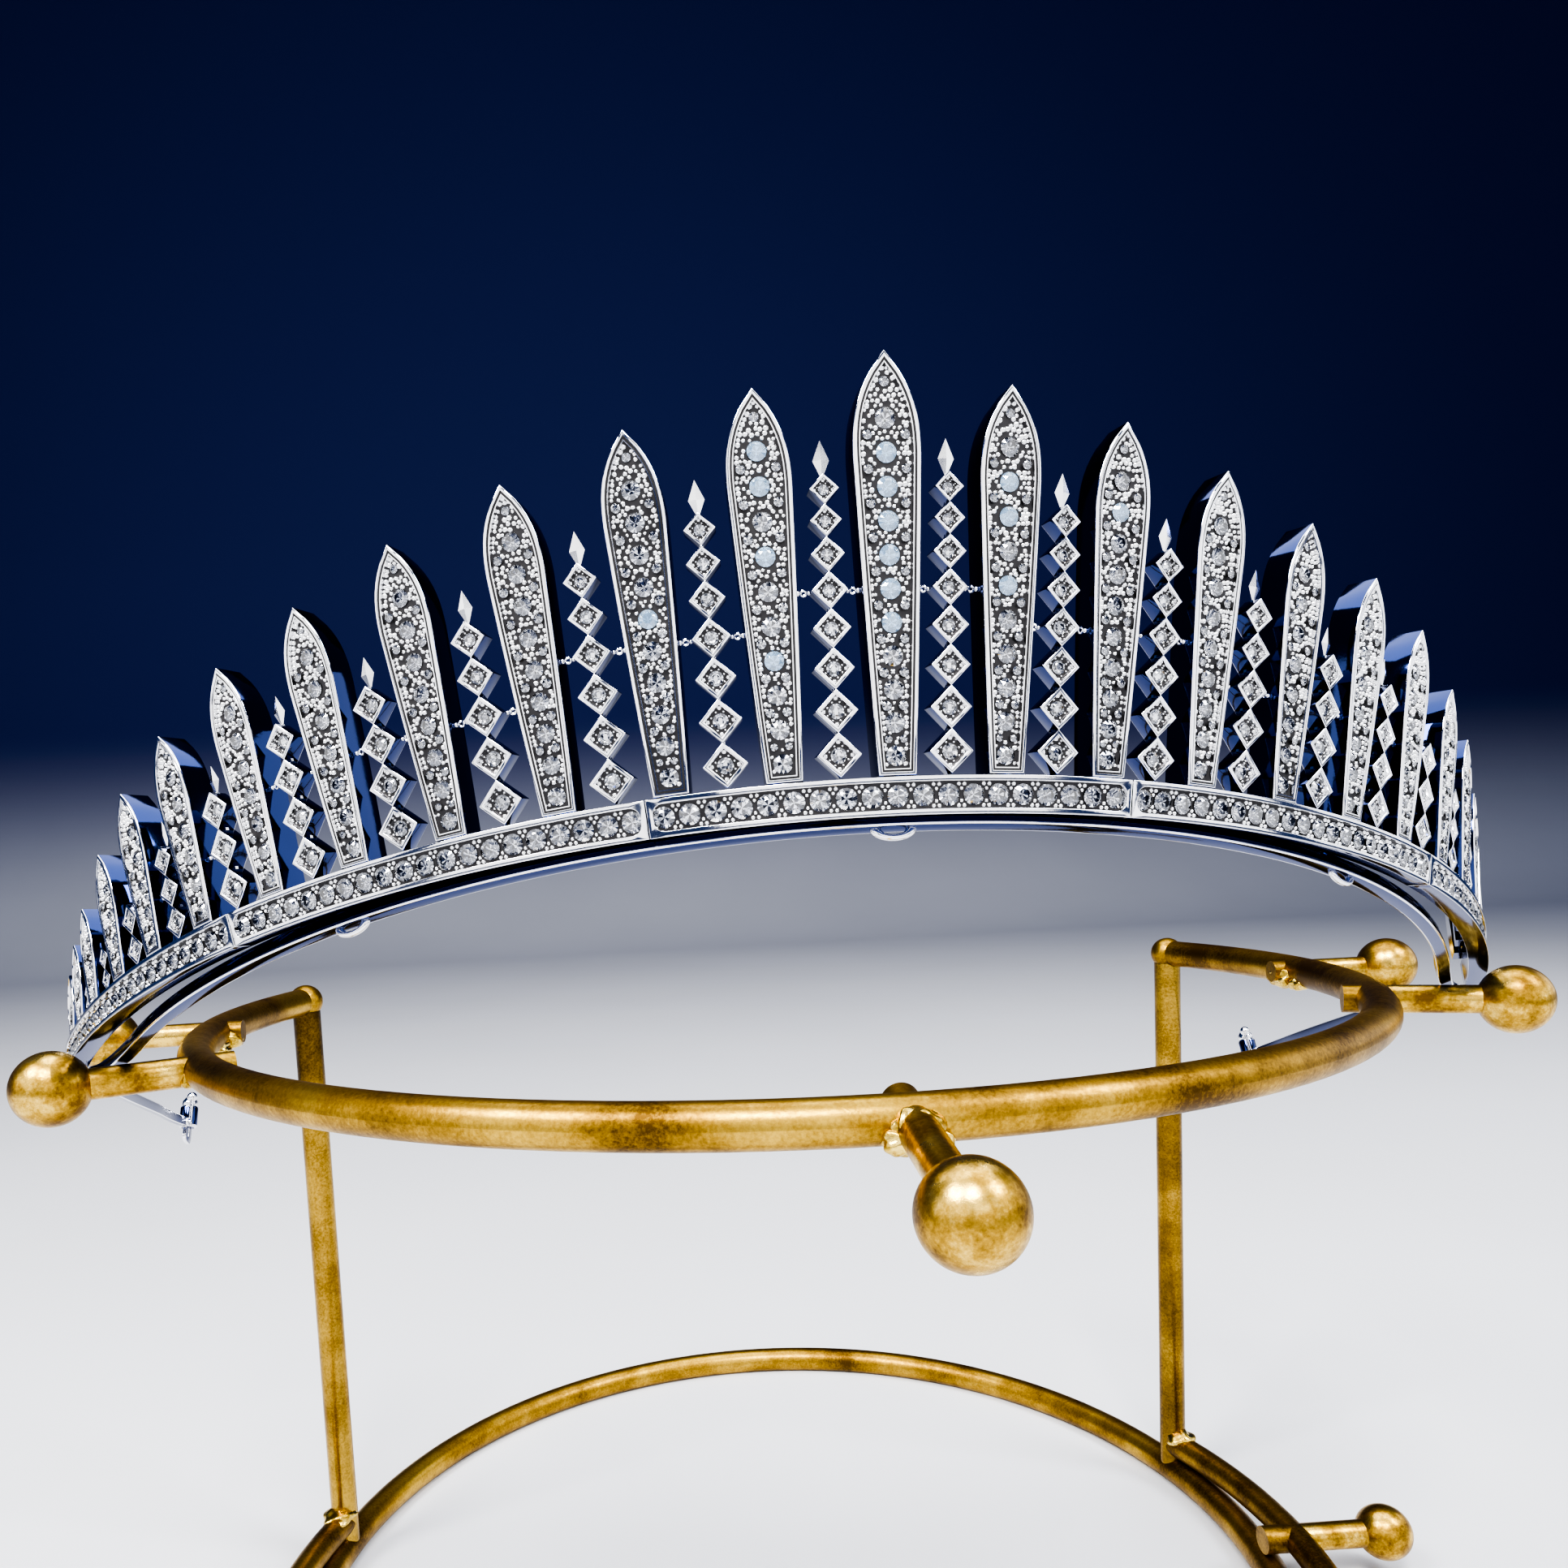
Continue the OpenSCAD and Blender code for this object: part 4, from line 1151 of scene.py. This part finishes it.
def rail_r(angle):
    """The rail's outer radius: just inside the band, then closing on to it at the ends."""
    lean = lean_at(angle)
    band_inner = FRAME_R - BAND_DEPTH * math.cos(lean) - BAND_H * math.sin(lean)
    closing = END_ANGLE - RAIL_CLOSE
    if abs(angle) < closing:
        spread = (1 - math.cos(math.radians(angle))) / (1 - math.cos(math.radians(closing)))
        return band_inner - 3 * SEAM - (RAIL_GAP - 3 * SEAM) * spread
    bend = min(1, (abs(angle) - closing) / RAIL_CLOSE)
    return band_inner - SEAM - (RAIL_GAP - SEAM) * math.sqrt(1 - bend * bend)


def rail_point(point):
    angle = math.degrees(point.x / FRAME_R)
    around = math.radians(angle)
    radius = rail_r(angle) - point.y
    height = rail_z(angle) + point.z
    return ON_PEGS @ Vector((radius * math.sin(around), -radius * math.cos(around), height))


rail_end = math.radians(END_ANGLE) * FRAME_R
rail = block((-rail_end, 0, 0), (rail_end, RAIL_W, RAIL_H))
for cuts in RAIL_CUTS:
    cut_along(rail, cuts)
soften(rail, RAIL_EDGE, 3, 60)
# The rail's large flat faces get the painted navy reflection; only its rounded edges stay bright.
shade_parts(rail, lambda face: False, lambda face: face.area > RAIL_FLAT)
for point in rail.data.vertices:
    point.co = rail_point(point.co)
finish(rail, "inner_rail_bar", None)
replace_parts(rail, "inner_rail")

for name, share in (("left", -0.5), ("front", 0), ("right", 0.5)):
    angle = share * ARM_ANGLE
    turn = Matrix.Rotation(math.radians(angle), 4, "Z")
    under_rail = Matrix.Translation((0, RAIL_W / 2 - rail_r(angle), rail_z(angle)))
    place = ON_PEGS @ turn @ under_rail @ FACE_ON
    bpy.ops.mesh.primitive_torus_add(
        major_radius=LOOP_R, minor_radius=LOOP_WIRE / 2, major_segments=40, minor_segments=12)
    loop = bpy.context.object
    edit(loop)
    bpy.ops.mesh.select_all(action="SELECT")
    bpy.ops.mesh.bisect(
        plane_co=(0, 0.2 * MM, 0), plane_no=(0, 1, 0), use_fill=True, clear_outer=True)
    close_edit()
    loop.data.transform(place @ Matrix.Diagonal((LOOP_SPREAD, LOOP_FALL, 1, 1)))
    finish(loop, f"{name}_sewing_loop", silver)


# Tails. Behind each end a thin strip runs on, back and down beside the stand, and carries the
# fastening: a folded lip, a slotted tab, a small ball on its pin and a short barrel.
# The strip's way inwards in mm, and its share of the climb, at even steps of its length.
TAIL_INWARDS = (2.4, 2.3, 1.4, -0.9, -5.1, -11.8)
TAIL_CLIMB = (0, 0.25, 0.46, 0.65, 0.83, 1)
TAIL_W = 1 * MM
TAIL_H = 1.6 * MM
TAIL_ANGLE = 50
TAIL_TOE = 27
TAIL_RISE = 16.4 * MM
TAB_D = 4 * MM
TAB_W = 0.6 * MM
TAB_CORNER = 1.2 * MM
BALL_D = 1.7 * MM
BALL_H = 4.5 * MM
BARREL_D = 3 * MM
TAIL_FLAT = (1 * MM) ** 2
tail_start = END_ANGLE + math.degrees(2 * SEAM / FRAME_R)
tail_end = ARM_ANGLE + TAIL_ANGLE
tail_top = rail_z(END_ANGLE) + RAIL_H


def through(points, share):
    """A smooth curve through evenly spaced points."""
    last = len(points) - 1
    step = min(int(share * last), last - 1)
    before, start, end, after = (points[max(0, min(last, step + i))] for i in (-1, 0, 1, 2))
    t = share * last - step
    bend = 2 * before - 5 * start + 4 * end - after
    sway = 3 * start - before - 3 * end + after
    return 0.5 * (2 * start + (end - before) * t + bend * t * t + sway * t ** 3)


def tail_local(share, side, y, z):
    """A point of the strip before the tilt: a share of its length, y inwards, z down."""
    around = math.radians(tail_start + (tail_end - tail_start) * share)
    radius = FRAME_R - through(TAIL_INWARDS, share) * MM - y
    height = tail_top + TAIL_RISE * through(TAIL_CLIMB, share) - z
    return Vector((side * radius * math.sin(around), -radius * math.cos(around), height))


def make_tail(side, name):
    """One tail with all of its fastening, in its place."""
    strip = block((0, 0, 0), (1, TAIL_W, TAIL_H))
    cut_along(strip, BAND_CUTS)
    for point in strip.data.vertices:
        share = min(1, max(0, point.co.x))
        point.co = ON_PEGS @ tail_local(share, side, point.co.y, point.co.z)
    edit(strip)
    face_out()
    close_edit()
    soften(strip, 0.12 * MM, 2, 50)
    turn = Matrix.Rotation(math.radians(side * (tail_end - TAIL_TOE)), 4, "Z")
    place = ON_PEGS @ Matrix.Translation(tail_local(1, side, TAIL_W / 2, TAIL_H / 2)) @ turn
    bpy.ops.mesh.primitive_cylinder_add(vertices=32, radius=TAIL_H / 2, depth=TAIL_W + BAND_RIM)
    lip = bpy.context.object
    soften(lip, 0.15 * MM, 3, 60)
    lip.data.transform(place @ FACE_ON)
    tab = block((-TAB_D / 2, -TAB_W / 2, -TAB_D / 2), (TAB_D / 2, TAB_W / 2, TAB_D / 2))
    edit(tab, "EDGE")
    pick(tab, lambda middle, way: abs(way.y) > 0.9, "EDGE")
    bpy.ops.mesh.bevel(offset=TAB_CORNER, segments=8, affect="EDGES")
    close_edit()
    slot_cut = block((-TAB_D / 12, -TAB_W, -TAB_D * 0.2), (TAB_D / 12, TAB_W, TAB_D * 0.2))
    use(tab, "BOOLEAN", object=slot_cut, operation="DIFFERENCE", solver="EXACT")
    bpy.data.objects.remove(slot_cut)
    soften(tab, 0.08 * MM, 2, 50)
    tab_x = side * (TAIL_H + TAB_D - TAB_W) / 2.35
    tab.data.transform(place @ Matrix.Translation((tab_x, 0, -TAB_D * 0.3)))
    pin_d = BALL_D / 3
    pin_y = (TAIL_W + pin_d) / 2 + SEAM
    bpy.ops.mesh.primitive_cylinder_add(vertices=20, radius=pin_d / 2, depth=BALL_H)
    pin = bpy.context.object
    pin.data.transform(place @ Matrix.Translation((0, pin_y, BALL_H / 2)))
    bpy.ops.mesh.primitive_uv_sphere_add(segments=24, ring_count=16, radius=BALL_D / 2)
    ball = bpy.context.object
    ball.data.transform(place @ Matrix.Translation((0, pin_y, BALL_H)))
    foot = block((-pin_d / 2, 0, -pin_d / 2), (pin_d / 2, pin_y + pin_d / 2, pin_d / 2))
    soften(foot, 0.06 * MM, 2, 50)
    foot.data.transform(place)
    bpy.ops.mesh.primitive_cylinder_add(vertices=24, radius=BARREL_D / 2, depth=1.3 * BARREL_D)
    barrel = bpy.context.object
    soften(barrel, 0.4 * MM, 3, 50)
    barrel_x = side * 0.8 * BARREL_D
    barrel.data.transform(place @ Matrix.Translation((barrel_x, 0, 0.5 * BARREL_D)))
    bpy.ops.mesh.primitive_uv_sphere_add(segments=8, ring_count=5, radius=0.46 * BARREL_D)
    bead = bpy.context.object
    bead.data.transform(place @ Matrix.Translation((barrel_x, 0, 1.3 * BARREL_D)))
    work = join_pieces([strip, lip, tab, pin, ball, foot, barrel, bead])
    # The large flat faces of the tail work get the painted navy reflection.
    shade_parts(work, lambda face: False, lambda face: face.area > TAIL_FLAT)
    finish(work, f"{name}_tail_work", None)
    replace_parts(work, f"{name}_tail")


make_tail(-1, "left")
make_tail(1, "right")
bpy.data.objects.remove(gem)
bpy.data.objects.remove(dome)
